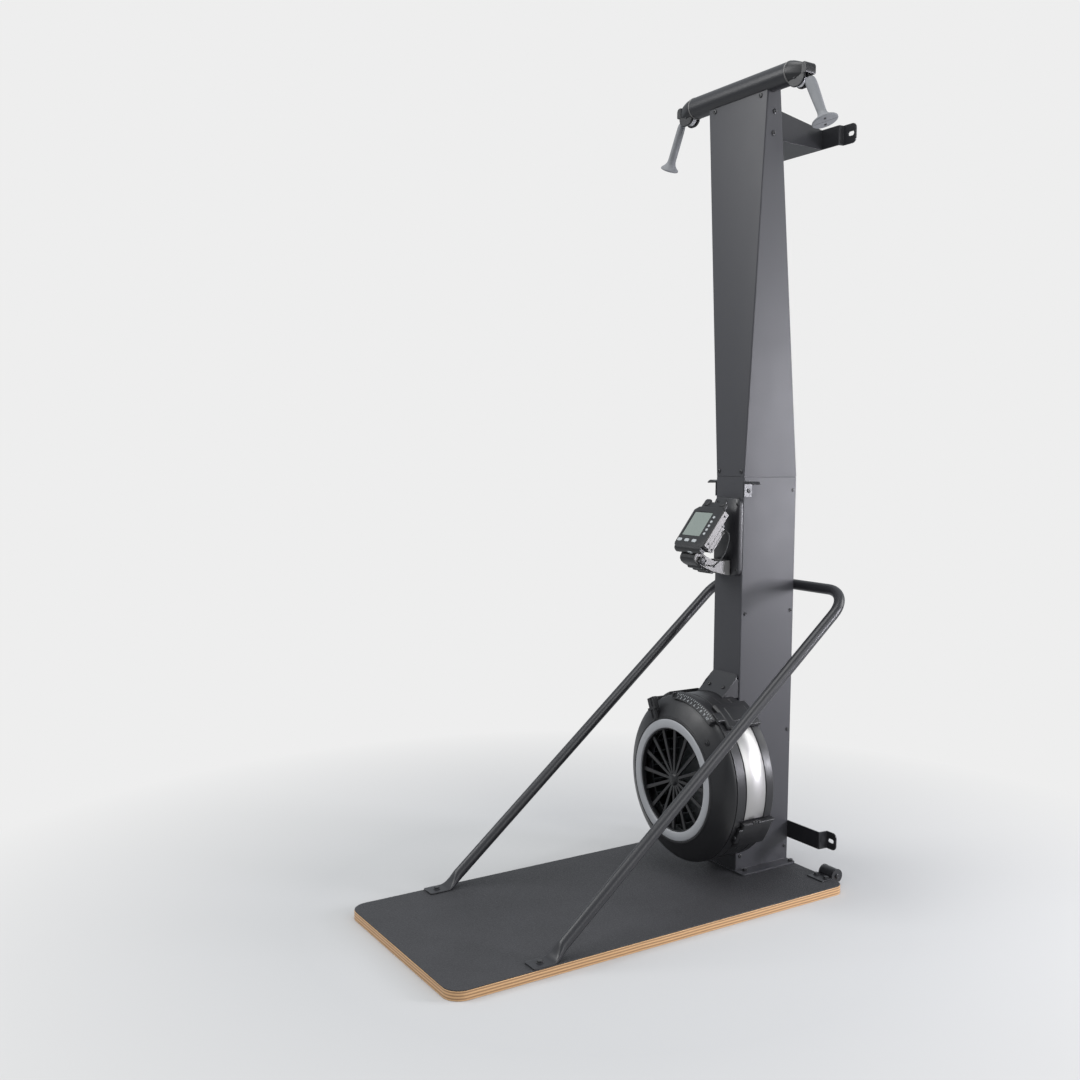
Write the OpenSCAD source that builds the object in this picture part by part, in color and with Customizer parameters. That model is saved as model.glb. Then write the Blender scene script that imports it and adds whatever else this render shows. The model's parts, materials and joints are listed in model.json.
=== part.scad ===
// Standing ski trainer: a platform, a column with a cross tube and two pull cords on top,
// a spinning fan with its damper, a tilting monitor, a brace rail and transport wheels.
// Millimetres. X runs across, -Y is the user's side, +Z is up.
// The origin is the centre of the platform's underside.

/* [Platform] */
// Width of the platform
deck_w = 600; // [500:10:700]
// Length of the platform, front to back
deck_l = 1216; // [1000:4:1400]
// Thickness of the plywood board
board_t = 23; // [15:1:30]
// Thickness of the rubber mat
mat_t = 3; // [2:0.5:6]
// Corner radius at the front
front_corner_r = 45; // [20:1:80]
// Corner radius at the back
back_corner_r = 30; // [10:1:60]

/* [Column] */
// Width of the lower column
column_w = 120; // [100:2:140]
// Depth of the lower column
column_d = 198; // [180:2:220]
// Sheet thickness of the column
wall = 3; // [2:0.5:5]
// Height of the seam between the columns
seam_z = 1158; // [1100:2:1250]
// Height of the top edge of the column
column_top = 2205; // [2150:5:2250]
// Width of the column at its top edge
column_top_w = 252; // [220:2:270]
// Depth of the column at its top edge
column_top_d = 44; // [42:1:60]

/* [Cross tube and cords] */
// Outer diameter of the cross tube
tube_d = 60; // [56:1:66]
// Length of the cross tube
tube_l = 400; // [380:5:440]
// Height of the cross tube's axis over the column's top edge
tube_rise = 12.5; // [5:0.5:25]
// Diameter of the drive cord
cord_d = 5; // [4:0.5:6]
// Outer radius of the sheaves
sheave_r = 24; // [22:0.5:25]
// Radius at which the cord runs on a sheave
sheave_run_r = 21; // [20:0.5:21.5]
// Tilt of the handles away from the plumb line
handle_tilt = 27; // [15:1:35]
// Length of a handle
handle_l = 138; // [120:1:160]
// Diameter of a handle's grip
grip_d = 23; // [20:0.5:28]

/* [Fan] */
// Height of the fan's axis
fan_z = 311; // [290:1:340]
// Outer radius of the fan's shell
fan_r = 235; // [220:1:245]
// Outer radius of the pale front ring
trim_r = 168.5; // [160:0.5:175]
// Radius of the open intake
intake_r = 145.5; // [135:0.5:150]
// Number of spokes in the grille
spoke_count = 16; // [8:1:24]
// Width of a spoke in the grille
spoke_w = 8; // [3:0.5:12]
// Number of blades on the flywheel
blade_count = 24; // [12:1:36]

/* [Monitor] */
// Width of the monitor
monitor_w = 130; // [110:1:150]
// Height of the monitor's face, along its slope
monitor_h = 136; // [120:1:150]
// Lean of the monitor's face
monitor_lean = 37.2; // [20:0.1:50]

/* [Brace rail and wheels] */
// Diameter of the brace rail's tube
rail_d = 30; // [25:1:35]
// Distance of each leg's axis from the platform's side
rail_inset = 24; // [15:1:50]
// Slope of the brace rail
rail_slope = 40.36; // [30:0.01:50]
// Height of the rail's crossbar
rail_z = 841; // [800:1:900]
// Radius of a transport wheel
wheel_r = 15; // [12:0.5:18]
// Width of a transport wheel
wheel_w = 44; // [30:2:50]

/* [Fits] */
// Gap between pieces that lie against each other but don't move
seat_gap = 0.2; // [0.1:0.05:0.5]
// Radial gap of a running fit
run_gap = 0.05; // [0.02:0.01:0.1]
// Gap between faces that move past each other
side_gap = 0.3; // [0.3:0.1:1]

/* [Hidden] */
$fn = 96;

deck_back = deck_l / 2;
deck_top = board_t + mat_t;
column_front = deck_back - column_d;
column_half = column_w / 2;
top_half = column_top_w / 2;
side_slope = (top_half - column_half) / (column_top - seam_z);
back_slope = (column_d - column_top_d) / (column_top - seam_z);

// Cross tube, sheaves and handles
tube_y = column_front + 15;
tube_z = column_top + tube_rise;
tube_r = tube_d / 2;
tube_bore_r = tube_r - wall;
tube_half = tube_l / 2;
cord_r = cord_d / 2;
sheave_z = tube_z - 18.5;
turn_sheave_x = 34;
head_sheave_x = tube_half + 29;
ring_t = 4.5;
sheave_pin_r = 4;
sheave_t = 12;
sheave_hub_t = 17.4;
sheave_groove_r = sheave_run_r - cord_r - 0.6;
nose_x = tube_half + 55;
nose_z = tube_z - 3.7;
nose_out = 8;
handle_out = 28;
head_end = head_sheave_x + 30;

// Fan: distances along Y
trim_front = column_front - 193;
trim_back = trim_front + 12;
shoulder_y = column_front - 154;
shell_split = column_front - 84;
shell_back = column_front - 16;
band_front = column_front - 114;
band_back = column_front - 48;
shell_t = 3.5;
shaft_r = 10;
bearing_r = 21;
bearing_t = 12;
shaft_end = column_front + 150;
spool_r = 30.2;
spool_flange_r = 36;
spool_t = 24;
spool_right_y = column_front + 48;
spool_left_y = column_front + 88;

// Monitor: the place of the face's lower edge, and of the tilt hinge
face_y = column_front - 149;
face_z = 965;
hinge_y = column_front - 115;
hinge_z = face_z - 37;
hinge_pin_r = 5;
arm_top = hinge_z - 7;
arm_low = hinge_z - 47;

wall_y = deck_back + 32;
sheet_t = 4;

// Route of a drive cord from its drum over the turn sheave to the tube's end; side is 1 or -1
function drive_route(drum_y, side) = concat(
    [for (part = [0 : 0.25 : 1])
        [spool_r + cord_r + 0.3, drum_y, fan_z] * (1 - part)
        + [side * (turn_sheave_x - sheave_run_r), tube_y, sheave_z - 19] * part],
    [for (a = [0 : 22.5 : 90])
        [side * (turn_sheave_x - sheave_run_r * cos(a)), tube_y, sheave_z + sheave_run_r * sin(a)]],
    [for (x = [turn_sheave_x + 8, tube_half / 2, tube_half])
        [side * x, tube_y, sheave_z + sheave_run_r]]);

// Route inside the swivelling head, over its sheave and round the nose, as steps along X and Z
// from the middle of the tube's end
nose_steps = [
    [0.4, 2.5], [15, 2.5], [29, 2.5], [34.4, 1.8], [41, 0], [48, -1.8], [51.2, -3], [53.8, -4.8],
    [55.8, -6.9], [57.6, -9.6], [58.4, -11]
];
nose_route = [for (s = nose_steps) [tube_half + s[0], tube_y, tube_z + s[1]]];

// Route of the monitor's cable: out of its back, down in a loop and into the arm, as steps from
// the column's front and the lower edge of the monitor's face
cable_steps = [
    [55, -64, 45], [63, -60, 42], [69, -57, 34], [71.5, -59, 20], [71.5, -64, 3], [70, -71, -15],
    [66, -80, -31], [60, -88, -43], [52, -93, -50], [40, -94, -53], [28.2, -94, -53]
];
cable_route = [for (s = cable_steps) [s[0], column_front + s[1], face_z + s[2]]];

function unit(v) = v / norm(v);

// Direction of a route at point i
function heading(route, i) =
    unit(route[min(i + 1, len(route) - 1)] - route[max(i - 1, 0)]);

// Ring of points round point i of a route; side is a direction that the route never takes
function ring_at(route, i, r, side, sides) =
    let (ahead = heading(route, i))
    let (across = unit(cross(ahead, side)))
    let (up = cross(across, ahead))
    [for (k = [0 : sides - 1])
        route[i] + r * (across * cos(360 * k / sides) + up * sin(360 * k / sides))];

// Closed skin over rings of points
module skin_over(rings) {
    sides = len(rings[0]);
    skin = [for (i = [0 : len(rings) - 2]) for (k = [0 : sides - 1])
        let (a = i * sides + k, b = i * sides + (k + 1) % sides)
        each [[a, b, b + sides], [a, b + sides, a + sides]]];
    first = [for (k = [sides - 1 : -1 : 0]) k];
    last = [for (k = [0 : sides - 1]) (len(rings) - 1) * sides + k];
    polyhedron([for (ring = rings) each ring], concat([first], skin, [last]));
}

// Round cord along a route
module cord_along(route, r, side, sides = 10) {
    skin_over([for (i = [0 : len(route) - 1]) ring_at(route, i, r, side, sides)]);
}

// Cylinder along X, from x
module rod_x(r, l) {
    rotate([0, 90, 0]) cylinder(r = r, h = l);
}

// Cylinder along Y, from y
module rod_y(r, l) {
    rotate([-90, 0, 0]) cylinder(r = r, h = l);
}

// Turned shape about the Y axis; the profile is a list of [radius, y]
module turned_y(profile, angle = 360, from = 0) {
    rotate([90, 0, 0])
        rotate([0, 0, from])
            rotate_extrude(angle = angle) polygon([for (p = profile) [p[0], -p[1]]]);
}

// Ring with a square section about the Y axis
module ring_y(r_in, r_out, y_from, y_to, angle = 360, from = 0) {
    turned_y([[r_in, y_from], [r_out, y_from], [r_out, y_to], [r_in, y_to]], angle, from);
}

// Flat plate with round corners, lying in XY
module rounded_plate(w, l, t, r) {
    linear_extrude(t) {
        square([w - 2 * r, l], center = true);
        square([w, l - 2 * r], center = true);
        for (x = [-1, 1], y = [-1, 1])
            translate([x * (w / 2 - r), y * (l / 2 - r)]) circle(r = r);
    }
}

// Plate standing in XZ, with its front at y = 0
module rounded_panel(w, h, t, r) {
    translate([0, t, 0]) rotate([90, 0, 0]) rounded_plate(w, h, t, r);
}

// Box between two corners
module block(from, to) {
    translate(from) cube(to - from);
}

// Copies on the right and on the left
module both_sides() {
    children();
    mirror([1, 0, 0]) children();
}

// Outline of the platform
module deck_outline() {
    front_r = front_corner_r;
    back_r = back_corner_r;
    translate([-deck_w / 2, -deck_back + front_r]) square([deck_w, deck_l - front_r - back_r]);
    translate([-deck_w / 2 + front_r, -deck_back]) square([deck_w - 2 * front_r, deck_l / 2]);
    translate([-deck_w / 2 + back_r, 0]) square([deck_w - 2 * back_r, deck_l / 2]);
    for (x = [-1, 1]) {
        translate([x * (deck_w / 2 - front_r), -deck_back + front_r]) circle(r = front_r);
        translate([x * (deck_w / 2 - back_r), deck_back - back_r]) circle(r = back_r);
    }
}

rail_r = rail_d / 2;
rail_x = deck_w / 2 - rail_inset;
rail_bend_r = 75;
rail_y = deck_back + rail_r;
rail_foot_z = deck_top + 21;
rail_leg = (rail_z - rail_foot_z) / sin(rail_slope);
rail_end_y = rail_y - rail_leg * cos(rail_slope);
rail_foot_y = rail_end_y - 56;
tab_half = 25;
tab_end_y = rail_end_y - 85;

wheel_x = deck_w / 2 - 75;
wheel_half = wheel_w / 2;
wheel_y = deck_back + 2 + wheel_r;
wheel_z = 30;
wheel_bolt_x = 19;
wheel_bolt_y = deck_back - 19;
axle_r = 4;

deck_bolt_r = 4;
// Places of the bolts that go down into the platform, on the right, as [x, y]
deck_bolts = [
    [75, column_front + 24], [87, deck_back - 10], [rail_x, rail_foot_y],
    [wheel_x - wheel_bolt_x, wheel_bolt_y], [wheel_x + wheel_bolt_x, wheel_bolt_y]
];

module deck_bolt_holes(depth_from, depth_to) {
    both_sides()
        for (place = deck_bolts)
            translate([place[0], place[1], depth_from])
                cylinder(r = deck_bolt_r + seat_gap, h = depth_to - depth_from);
}

module deck_board() {
    color("burlywood") difference() {
        linear_extrude(board_t) deck_outline();
        deck_bolt_holes(4, board_t + 1);
    }
}

module deck_mat() {
    color([0.08, 0.08, 0.08]) difference() {
        translate([0, 0, board_t]) linear_extrude(mat_t) deck_outline();
        deck_bolt_holes(board_t - 1, deck_top + 1);
    }
}

// Bolt that points down, with its head's underside at z = 0
module deck_bolt(depth) {
    cylinder(r = 7.5, h = 5, $fn = 6);
    translate([0, 0, -depth]) cylinder(r = deck_bolt_r, h = depth);
}

foot_t = 5;
tab_t = 4;
wheel_plate_t = 3;
hook_screw_z = 1120;
side_screw_z = [70, 420, 772, hook_screw_z];
screw_r = 3;

bracket_z = column_top - 136;
bracket_screw_z = [bracket_z + 15, bracket_z + 71];
bracket_screw_r = 6.5;
bracket_x = column_half + (bracket_z - seam_z) * side_slope - wall - sheet_t - 0.4;

// Screw that points to +X from the outside of a wall, with its head's underside at x = 0
module side_screw(head_r = 5, depth = 8) {
    translate([-2.5, 0, 0]) rod_x(head_r, 2.5);
    rod_x(screw_r, depth);
}

// Places on the upper column's front, as [x, z], on the right
front_screws = [[48, seam_z + 15], [97, column_top - 23]];

module fasteners() {
    color([0.1, 0.1, 0.1]) {
        both_sides() {
            for (place = [deck_bolts[0], deck_bolts[1]])
                translate([place[0], place[1], deck_top + foot_t]) deck_bolt(foot_t + 20);
            translate([rail_x, rail_foot_y, deck_top + tab_t]) deck_bolt(tab_t + 20);
            for (place = [deck_bolts[3], deck_bolts[4]])
                translate([place[0], place[1], deck_top + wheel_plate_t])
                    deck_bolt(wheel_plate_t + 18);
            for (z = side_screw_z, y = [column_front + 16, deck_back - 11])
                if (z != hook_screw_z || y > column_front + 20)
                    translate([-column_half, y, z]) side_screw();
            translate([-column_half - sheet_t, column_front + 16, hook_screw_z]) side_screw(6, 12);
            for (z = bracket_screw_z)
                translate([-column_half - (z - seam_z + bracket_screw_r) * side_slope, tube_y + 14, z])
                    side_screw(bracket_screw_r, 12);
            for (place = front_screws)
                translate([place[0], column_front, place[1]])
                    rotate([0, 0, 90]) side_screw(4.5, 7);
        }
    }
}

module side_screw_holes(y) {
    for (z = side_screw_z)
        translate([-column_half - 1, y, z]) rod_x(screw_r + seat_gap, column_w + 2);
}

// Lower column: a channel open to the back, welded to its foot flange
module column_lower() {
    color([0.16, 0.16, 0.17]) difference() {
        union() {
            block([-column_half, column_front, deck_top], [column_half, deck_back, seam_z]);
            translate([0, (column_front - 6 + deck_back) / 2, deck_top])
                rounded_plate(2 * (column_half + 40), column_d + 6, foot_t, 10);
        }
        block([-column_half + wall, column_front + wall, deck_top + foot_t],
              [column_half - wall, deck_back + 1, seam_z + 1]);
        translate([0, column_front - 1, fan_z]) rod_y(shaft_r + 4, 20);
        side_screw_holes(column_front + 16);
        side_screw_holes(deck_back - 11);
        both_sides() {
            for (place = [deck_bolts[0], deck_bolts[1]])
                translate([place[0], place[1], deck_top - 1])
                    cylinder(r = deck_bolt_r + seat_gap, h = foot_t + 2);
        }
    }
}

// Rear cover of the lower column, a channel inside its open back
module column_lower_back() {
    half = column_half - wall;
    color([0.14, 0.14, 0.15]) difference() {
        block([-half, deck_back - 24, deck_top + foot_t], [half, deck_back, seam_z]);
        block([-half + wall, deck_back - 25, deck_top + foot_t - 1],
              [half - wall, deck_back - wall, seam_z + 1]);
        side_screw_holes(deck_back - 11);
    }
}

// Solid of the upper column, shrunk by a wall at the sides and in front
module upper_solid(inset) {
    height = column_top - seam_z;
    intersection() {
        translate([0, deck_back + 1, seam_z]) rotate([90, 0, 0])
            linear_extrude(column_d + 2)
                polygon([[-column_half + inset, 0], [column_half - inset, 0],
                         [top_half - inset, height], [-top_half + inset, height]]);
        translate([-top_half - 1, 0, seam_z]) rotate([90, 0, 90])
            linear_extrude(column_top_w + 2)
                polygon([[column_front + inset, 0], [deck_back, 0],
                         [column_front + column_top_d, height], [column_front + inset, height]]);
    }
}

// Seat of the cross tube, cut out of whatever carries it
module tube_seat() {
    translate([-top_half - 1, tube_y, tube_z]) rod_x(tube_r + seat_gap, column_top_w + 2);
}

// Upper column: a tapered channel, open to the back
module column_upper() {
    color([0.16, 0.16, 0.17]) difference() {
        upper_solid(0);
        translate([0, deck_back + 2, seam_z - 1]) rotate([90, 0, 0])
            linear_extrude(deck_back + 2 - column_front - wall)
                polygon([[-column_half + wall, 0], [column_half - wall, 0],
                         [top_half - wall + side_slope, column_top - seam_z + 2],
                         [-top_half + wall - side_slope, column_top - seam_z + 2]]);
        tube_seat();
        both_sides() {
            for (z = bracket_screw_z)
                translate([-top_half - 5, tube_y + 14, z]) rod_x(screw_r + seat_gap, 30);
            for (place = front_screws)
                translate([place[0], column_front - 1, place[1]]) rod_y(screw_r + seat_gap, 5);
        }
    }
}

// Rear cover of the upper column, up to the wall bracket
module column_upper_back() {
    cover_top = bracket_z - 8;
    height = cover_top - seam_z;
    top_half_here = column_half + height * side_slope - wall;
    top_back = deck_back - height * back_slope;
    color([0.14, 0.14, 0.15]) intersection() {
        translate([0, deck_back + 1, seam_z]) rotate([90, 0, 0])
            linear_extrude(column_d)
                polygon([[-column_half + wall + seat_gap, 0], [column_half - wall - seat_gap, 0],
                         [top_half_here - seat_gap, height], [-top_half_here + seat_gap, height]]);
        translate([-top_half, 0, seam_z]) rotate([90, 0, 90])
            linear_extrude(column_top_w)
                polygon([[deck_back - wall, 0], [deck_back, 0], [top_back, height],
                         [top_back - wall, height]]);
    }
}

// Channel that joins the two columns behind their fronts
module column_sleeve() {
    half = column_half - wall;
    color([0.4, 0.4, 0.42]) difference() {
        union() {
            block([-half, column_front + wall, seam_z - 60],
                  [half, column_front + wall + 4, seam_z + 60]);
            both_sides()
                block([half - 4, column_front + wall, seam_z - 60],
                      [half, column_front + 60, seam_z + 60]);
        }
        side_screw_holes(column_front + 16);
        both_sides()
            translate([front_screws[0][0], column_front, front_screws[0][1]])
                rod_y(screw_r + seat_gap, 12);
    }
}

module head_tube() {
    color([0.09, 0.09, 0.09]) difference() {
        translate([-tube_half, tube_y, tube_z]) rod_x(tube_r, tube_l);
        translate([-tube_half - 1, tube_y, tube_z]) rod_x(tube_bore_r, tube_l + 2);
        block([-62, tube_y - 13, tube_z - tube_r - 1], [62, tube_y + 13, tube_z]);
    }
}

module swivel_rings() {
    color("silver") both_sides()
        translate([tube_half, tube_y, tube_z]) difference() {
            rod_x(tube_r + 0.5, ring_t);
            translate([-1, 0, 0]) rod_x(tube_bore_r + run_gap, ring_t + 2);
        }
}

// Flat ear that is bolted to the wall, with its slot, and the joggle behind the strip
module wall_ear(x_from, x_to, z_from, z_to, slot_x, slot_z, strip_back) {
    difference() {
        union() {
            block([x_from, strip_back - sheet_t, z_from], [x_from + 6, wall_y, z_to]);
            block([x_from, wall_y - sheet_t, z_from], [x_to - 10, wall_y, z_to]);
            block([x_from, wall_y - sheet_t, z_from + 10], [x_to, wall_y, z_to - 10]);
            for (z = [z_from + 10, z_to - 10])
                translate([x_to - 10, wall_y - sheet_t, z]) rod_y(10, sheet_t);
        }
        block([slot_x - 5, wall_y - 10, slot_z - 6], [slot_x + 5, wall_y + 1, slot_z + 6]);
        for (x = [slot_x - 5, slot_x + 5])
            translate([x, wall_y - 10, slot_z]) rod_y(6, 12);
    }
}

slot_x = 212;
bracket_back = wall_y - 14;
ear_h = 53;
lower_ear_z = 94;
lower_ear_h = 50;

module wall_bracket_upper() {
    plate_back = bracket_back - sheet_t;
    color([0.1, 0.1, 0.1]) {
        difference() {
            union() {
                both_sides() {
                    translate([bracket_x, 0, 0]) rotate([90, 0, 90]) linear_extrude(sheet_t)
                        polygon([[tube_y + 4, bracket_z + ear_h + 28],
                                 [tube_y + 45, bracket_z + ear_h + 25],
                                 [plate_back, bracket_z + ear_h], [plate_back, bracket_z],
                                 [tube_y + 4, bracket_z]]);
                }
                block([-bracket_x, tube_y + 45, bracket_z],
                      [bracket_x, plate_back, bracket_z + sheet_t]);
                block([-slot_x + 36, plate_back, bracket_z],
                      [slot_x - 36, bracket_back, bracket_z + ear_h]);
            }
            both_sides()
                for (z = bracket_screw_z)
                    translate([-top_half, tube_y + 14, z]) rod_x(screw_r + seat_gap, 20);
        }
        both_sides()
            wall_ear(slot_x - 36, slot_x + 18, bracket_z, bracket_z + ear_h, slot_x,
                     bracket_z + ear_h / 2, bracket_back);
    }
}

module wall_bracket_lower() {
    top_z = lower_ear_z + lower_ear_h;
    color([0.1, 0.1, 0.1]) {
        block([-slot_x + 20, deck_back, lower_ear_z], [slot_x - 20, deck_back + sheet_t, top_z]);
        both_sides()
            wall_ear(slot_x - 24, slot_x + 20, lower_ear_z, top_z, slot_x,
                     lower_ear_z + lower_ear_h / 2, deck_back + sheet_t);
    }
}

hook_w = 28;
hook_h = 43;
// Outline of a storage hook's tongue from above its plate outwards, as steps along X and Z
hook_steps = [
    [0, 0], [5, -0.5], [12, 0], [19, 2], [25, 2], [31, -0.5], [37, -5.5], [34.5, -7.5],
    [29, -3], [24, -1.2], [19, -1.4], [12, -3.5], [5, -4], [0, -4]
];

// Plates on the column's sides whose tops are bent out into tongues
module storage_hooks() {
    hook_z = seam_z - 13;
    color([0.1, 0.1, 0.1]) both_sides() difference() {
        union() {
            block([column_half, column_front, hook_z - hook_h],
                  [column_half + sheet_t, column_front + hook_w, hook_z]);
            translate([column_half + sheet_t - 0.5, column_front + hook_w, hook_z])
                rotate([90, 0, 0]) linear_extrude(hook_w) polygon(hook_steps);
        }
        translate([column_half - 1, column_front + 16, hook_screw_z]) rod_x(screw_r + seat_gap, 10);
    }
}

// Half of the bent tube, as a solid of radius r, in the plane of the rail; it ends short by trim
module rail_half(r, trim = 0) {
    straight = rail_x - rail_bend_r;
    rod_x(r, straight);
    translate([straight, -rail_bend_r, 0]) rotate_extrude(angle = 90)
        translate([rail_bend_r, 0]) circle(r = r);
    translate([rail_x, trim - rail_leg, 0]) rod_y(r, rail_leg - trim - rail_bend_r);
}

module rail_plane() {
    translate([0, rail_y, rail_z]) rotate([rail_slope, 0, 0]) children();
}

module brace_rail() {
    color([0.07, 0.07, 0.07]) {
        difference() {
            union() {
                rail_plane() both_sides() rail_half(rail_r);
                both_sides() {
                    hull() {
                        translate([rail_x, rail_end_y, rail_foot_z]) rotate([rail_slope, 0, 0])
                            translate([0, 1, 0]) rod_y(rail_r - 0.5, 2, $fn = 32);
                        block([rail_x - tab_half + 1, rail_end_y - 26, deck_top],
                              [rail_x + tab_half - 1, rail_end_y - 24, deck_top + tab_t]);
                    }
                    block([rail_x - tab_half, tab_end_y, deck_top],
                          [rail_x + tab_half, rail_end_y - 24, deck_top + tab_t]);
                }
            }
            rail_plane() both_sides() rail_half(rail_r - 2, 8);
            both_sides() {
                translate([rail_x, rail_foot_y, deck_top - 1])
                    cylinder(r = deck_bolt_r + seat_gap, h = tab_t + 2);
                translate([rail_x, rail_end_y + 30, rail_foot_z + 5]) cylinder(r = 3, h = 14);
            }
        }
    }
}

// Hood over a wheel: a bent sheet between two cheeks, on a flange
module wheel_brackets() {
    cheek_t = 4;
    inner = wheel_half + 1;
    hood_r = wheel_r + 4.6;
    color([0.1, 0.1, 0.1]) both_sides() translate([wheel_x, 0, 0]) {
        difference() {
            union() {
                block([-inner - 8, deck_back - 45, deck_top],
                      [inner + 8, deck_back, deck_top + wheel_plate_t]);
                for (x = [-inner - cheek_t, inner]) {
                    translate([x, wheel_y, wheel_z]) rod_x(hood_r + 1, cheek_t);
                    block([x, deck_back - 12, deck_top], [x + cheek_t, wheel_y, wheel_z + 4]);
                }
                translate([-inner - 1, wheel_y, wheel_z]) rotate([90, 0, 90])
                    linear_extrude(2 * inner + 2) difference() {
                        circle(r = hood_r);
                        circle(r = hood_r - 3);
                        translate([-hood_r - 1, -hood_r - 1]) square([2 * hood_r + 2, hood_r + 1]);
                        rotate(45) translate([0, -30]) square(30);
                    }
                block([-inner - 1, wheel_y - hood_r, deck_top],
                      [inner + 1, wheel_y - hood_r + 2.4, wheel_z + 0.5]);
                translate([-inner - cheek_t, wheel_y, wheel_z]) rod_x(axle_r, 2 * (inner + cheek_t));
                for (x = [-inner - cheek_t - 4, inner + cheek_t])
                    translate([x, wheel_y, wheel_z]) rod_x(7, 4);
            }
            block([-inner - 9, deck_back - 46, 0], [inner + 9, deck_back + 0.5, deck_top]);
            for (x = [-wheel_bolt_x, wheel_bolt_x])
                translate([x, wheel_bolt_y, deck_top - 1])
                    cylinder(r = deck_bolt_r + seat_gap, h = wheel_plate_t + 2);
        }
    }
}

module wheel() {
    color([0.12, 0.12, 0.12]) translate([wheel_x - wheel_half, wheel_y, wheel_z]) difference() {
        union() {
            rod_x(wheel_r - 1, 2 * wheel_half);
            translate([2, 0, 0]) rod_x(wheel_r, 2 * wheel_half - 4);
        }
        translate([-1, 0, 0]) rod_x(axle_r + run_gap, 2 * wheel_half + 2);
    }
}

neck_half = 57;

// Bent bracket from the column down onto the top of the fan
module neck_bracket() {
    reach = 54;
    low_z = fan_z + fan_r + seat_gap;
    color([0.13, 0.13, 0.13]) {
        translate([-neck_half, 0, 0]) rotate([90, 0, 90]) linear_extrude(2 * neck_half)
            polygon([[column_front, low_z + reach], [column_front - reach, low_z + 1],
                     [column_front - reach + 5, low_z + 1], [column_front, low_z + reach - 5]]);
        both_sides()
            translate([neck_half - 3, 0, 0]) rotate([90, 0, 90]) linear_extrude(3)
                polygon([[column_front, low_z + reach], [column_front - reach, low_z + 1],
                         [column_front - 16, low_z - 3], [column_front, low_z - 3]]);
    }
}

shoulder_in = 178;

// Outer line of the front shell's shoulder, from the drum in to the damper ring, as [radius, y]
function shoulder(inset) = [for (a = [0 : 10 : 90])
    [shoulder_in + (fan_r - shoulder_in - inset) * cos(a),
     shoulder_y - (shoulder_y - trim_front - 4 - inset) * sin(a)]];

window_from = -17;
window_angle = 62;

// Openings in the drum for the steel bands
module fan_windows() {
    both_sides() translate([0, 0, fan_z])
        ring_y(fan_r - shell_t - 1, fan_r + 1, band_front, band_back, window_angle, window_from);
}

damper_y = trim_front + 6.6;

module fan_front_shell() {
    outer = shoulder(0);
    inner = shoulder(shell_t);
    color([0.1, 0.1, 0.1]) difference() {
        translate([0, 0, fan_z]) {
            turned_y(concat([[fan_r, shell_split]], outer,
                [[trim_r + 0.3, trim_front + 4], [trim_r + 0.3, damper_y + 10],
                 [intake_r, damper_y + 10], [intake_r, damper_y + 13],
                 [shoulder_in, damper_y + 13]],
                [for (i = [len(inner) - 1 : -1 : 0]) inner[i]], [[fan_r - shell_t, shell_split]]));
            ring_y(fan_r - 1, fan_r + 7, shoulder_y - 10, shoulder_y + 7, 44, 53);
            translate([195 * cos(43), trim_front + 8, 195 * sin(43)]) rod_y(7, 12);
        }
        translate([0, 0, fan_z]) ring_y(trim_r - 1, shoulder_in, trim_front - 1, damper_y + 0.4);
        fan_windows();
    }
}

module fan_trim_ring() {
    color([0.7, 0.72, 0.74]) translate([0, 0, fan_z]) {
        turned_y([[intake_r, trim_front + 1], [intake_r + 1, trim_front], [trim_r + 1.5, trim_front],
                  [trim_r + 1.5, trim_front + 1], [trim_r, trim_front + 1.2], [trim_r, trim_back],
                  [intake_r, trim_back]]);
    }
}

module fan_grille() {
    back = damper_y + 10;
    front = trim_back;
    color([0.12, 0.12, 0.12]) translate([0, 0, fan_z]) {
        ring_y(intake_r - 4, trim_r, front, back);
        translate([0, front - 3, 0]) rod_y(17, back - front + 3);
        for (i = [0 : spoke_count - 1])
            rotate([0, -i * 360 / spoke_count, 0])
                block([15, front, -spoke_w / 2], [intake_r - 2, back, spoke_w / 2]);
    }
}

module fan_bands() {
    color([0.75, 0.76, 0.78]) both_sides() translate([0, 0, fan_z])
        ring_y(fan_r - 2.5, fan_r + 0.3, band_front + seat_gap, band_back - seat_gap,
               window_angle - 0.2, window_from + 0.1);
}

module fan_rear_shell() {
    color([0.1, 0.1, 0.1]) difference() {
        translate([0, 0, fan_z]) {
            turned_y([[fan_r, shell_split], [fan_r, shell_back - 4], [fan_r - 4, shell_back],
                      [70, shell_back], [70, column_front], [40, column_front],
                      [40, shell_back - shell_t], [fan_r - shell_t, shell_back - shell_t],
                      [fan_r - shell_t, shell_split]]);
        }
        fan_windows();
    }
}

// Clamps that hold the two shells together
module fan_clamps() {
    color([0.12, 0.12, 0.12]) both_sides() translate([0, 0, fan_z]) {
        ring_y(fan_r + seat_gap, fan_r + 13, shoulder_y + 18, shell_back + 4, 20.5, 45.2);
        ring_y(fan_r + seat_gap, fan_r + 12, shoulder_y + 27, shell_back + 2, 20, -38);
        translate([(fan_r + 6) * cos(-29), shoulder_y + 21, (fan_r + 6) * sin(-29)]) rod_y(4.5, 8);
        translate([(fan_r + 6) * cos(55), shoulder_y + 12, (fan_r + 6) * sin(55)]) rod_y(4.5, 8);
    }
}

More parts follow.
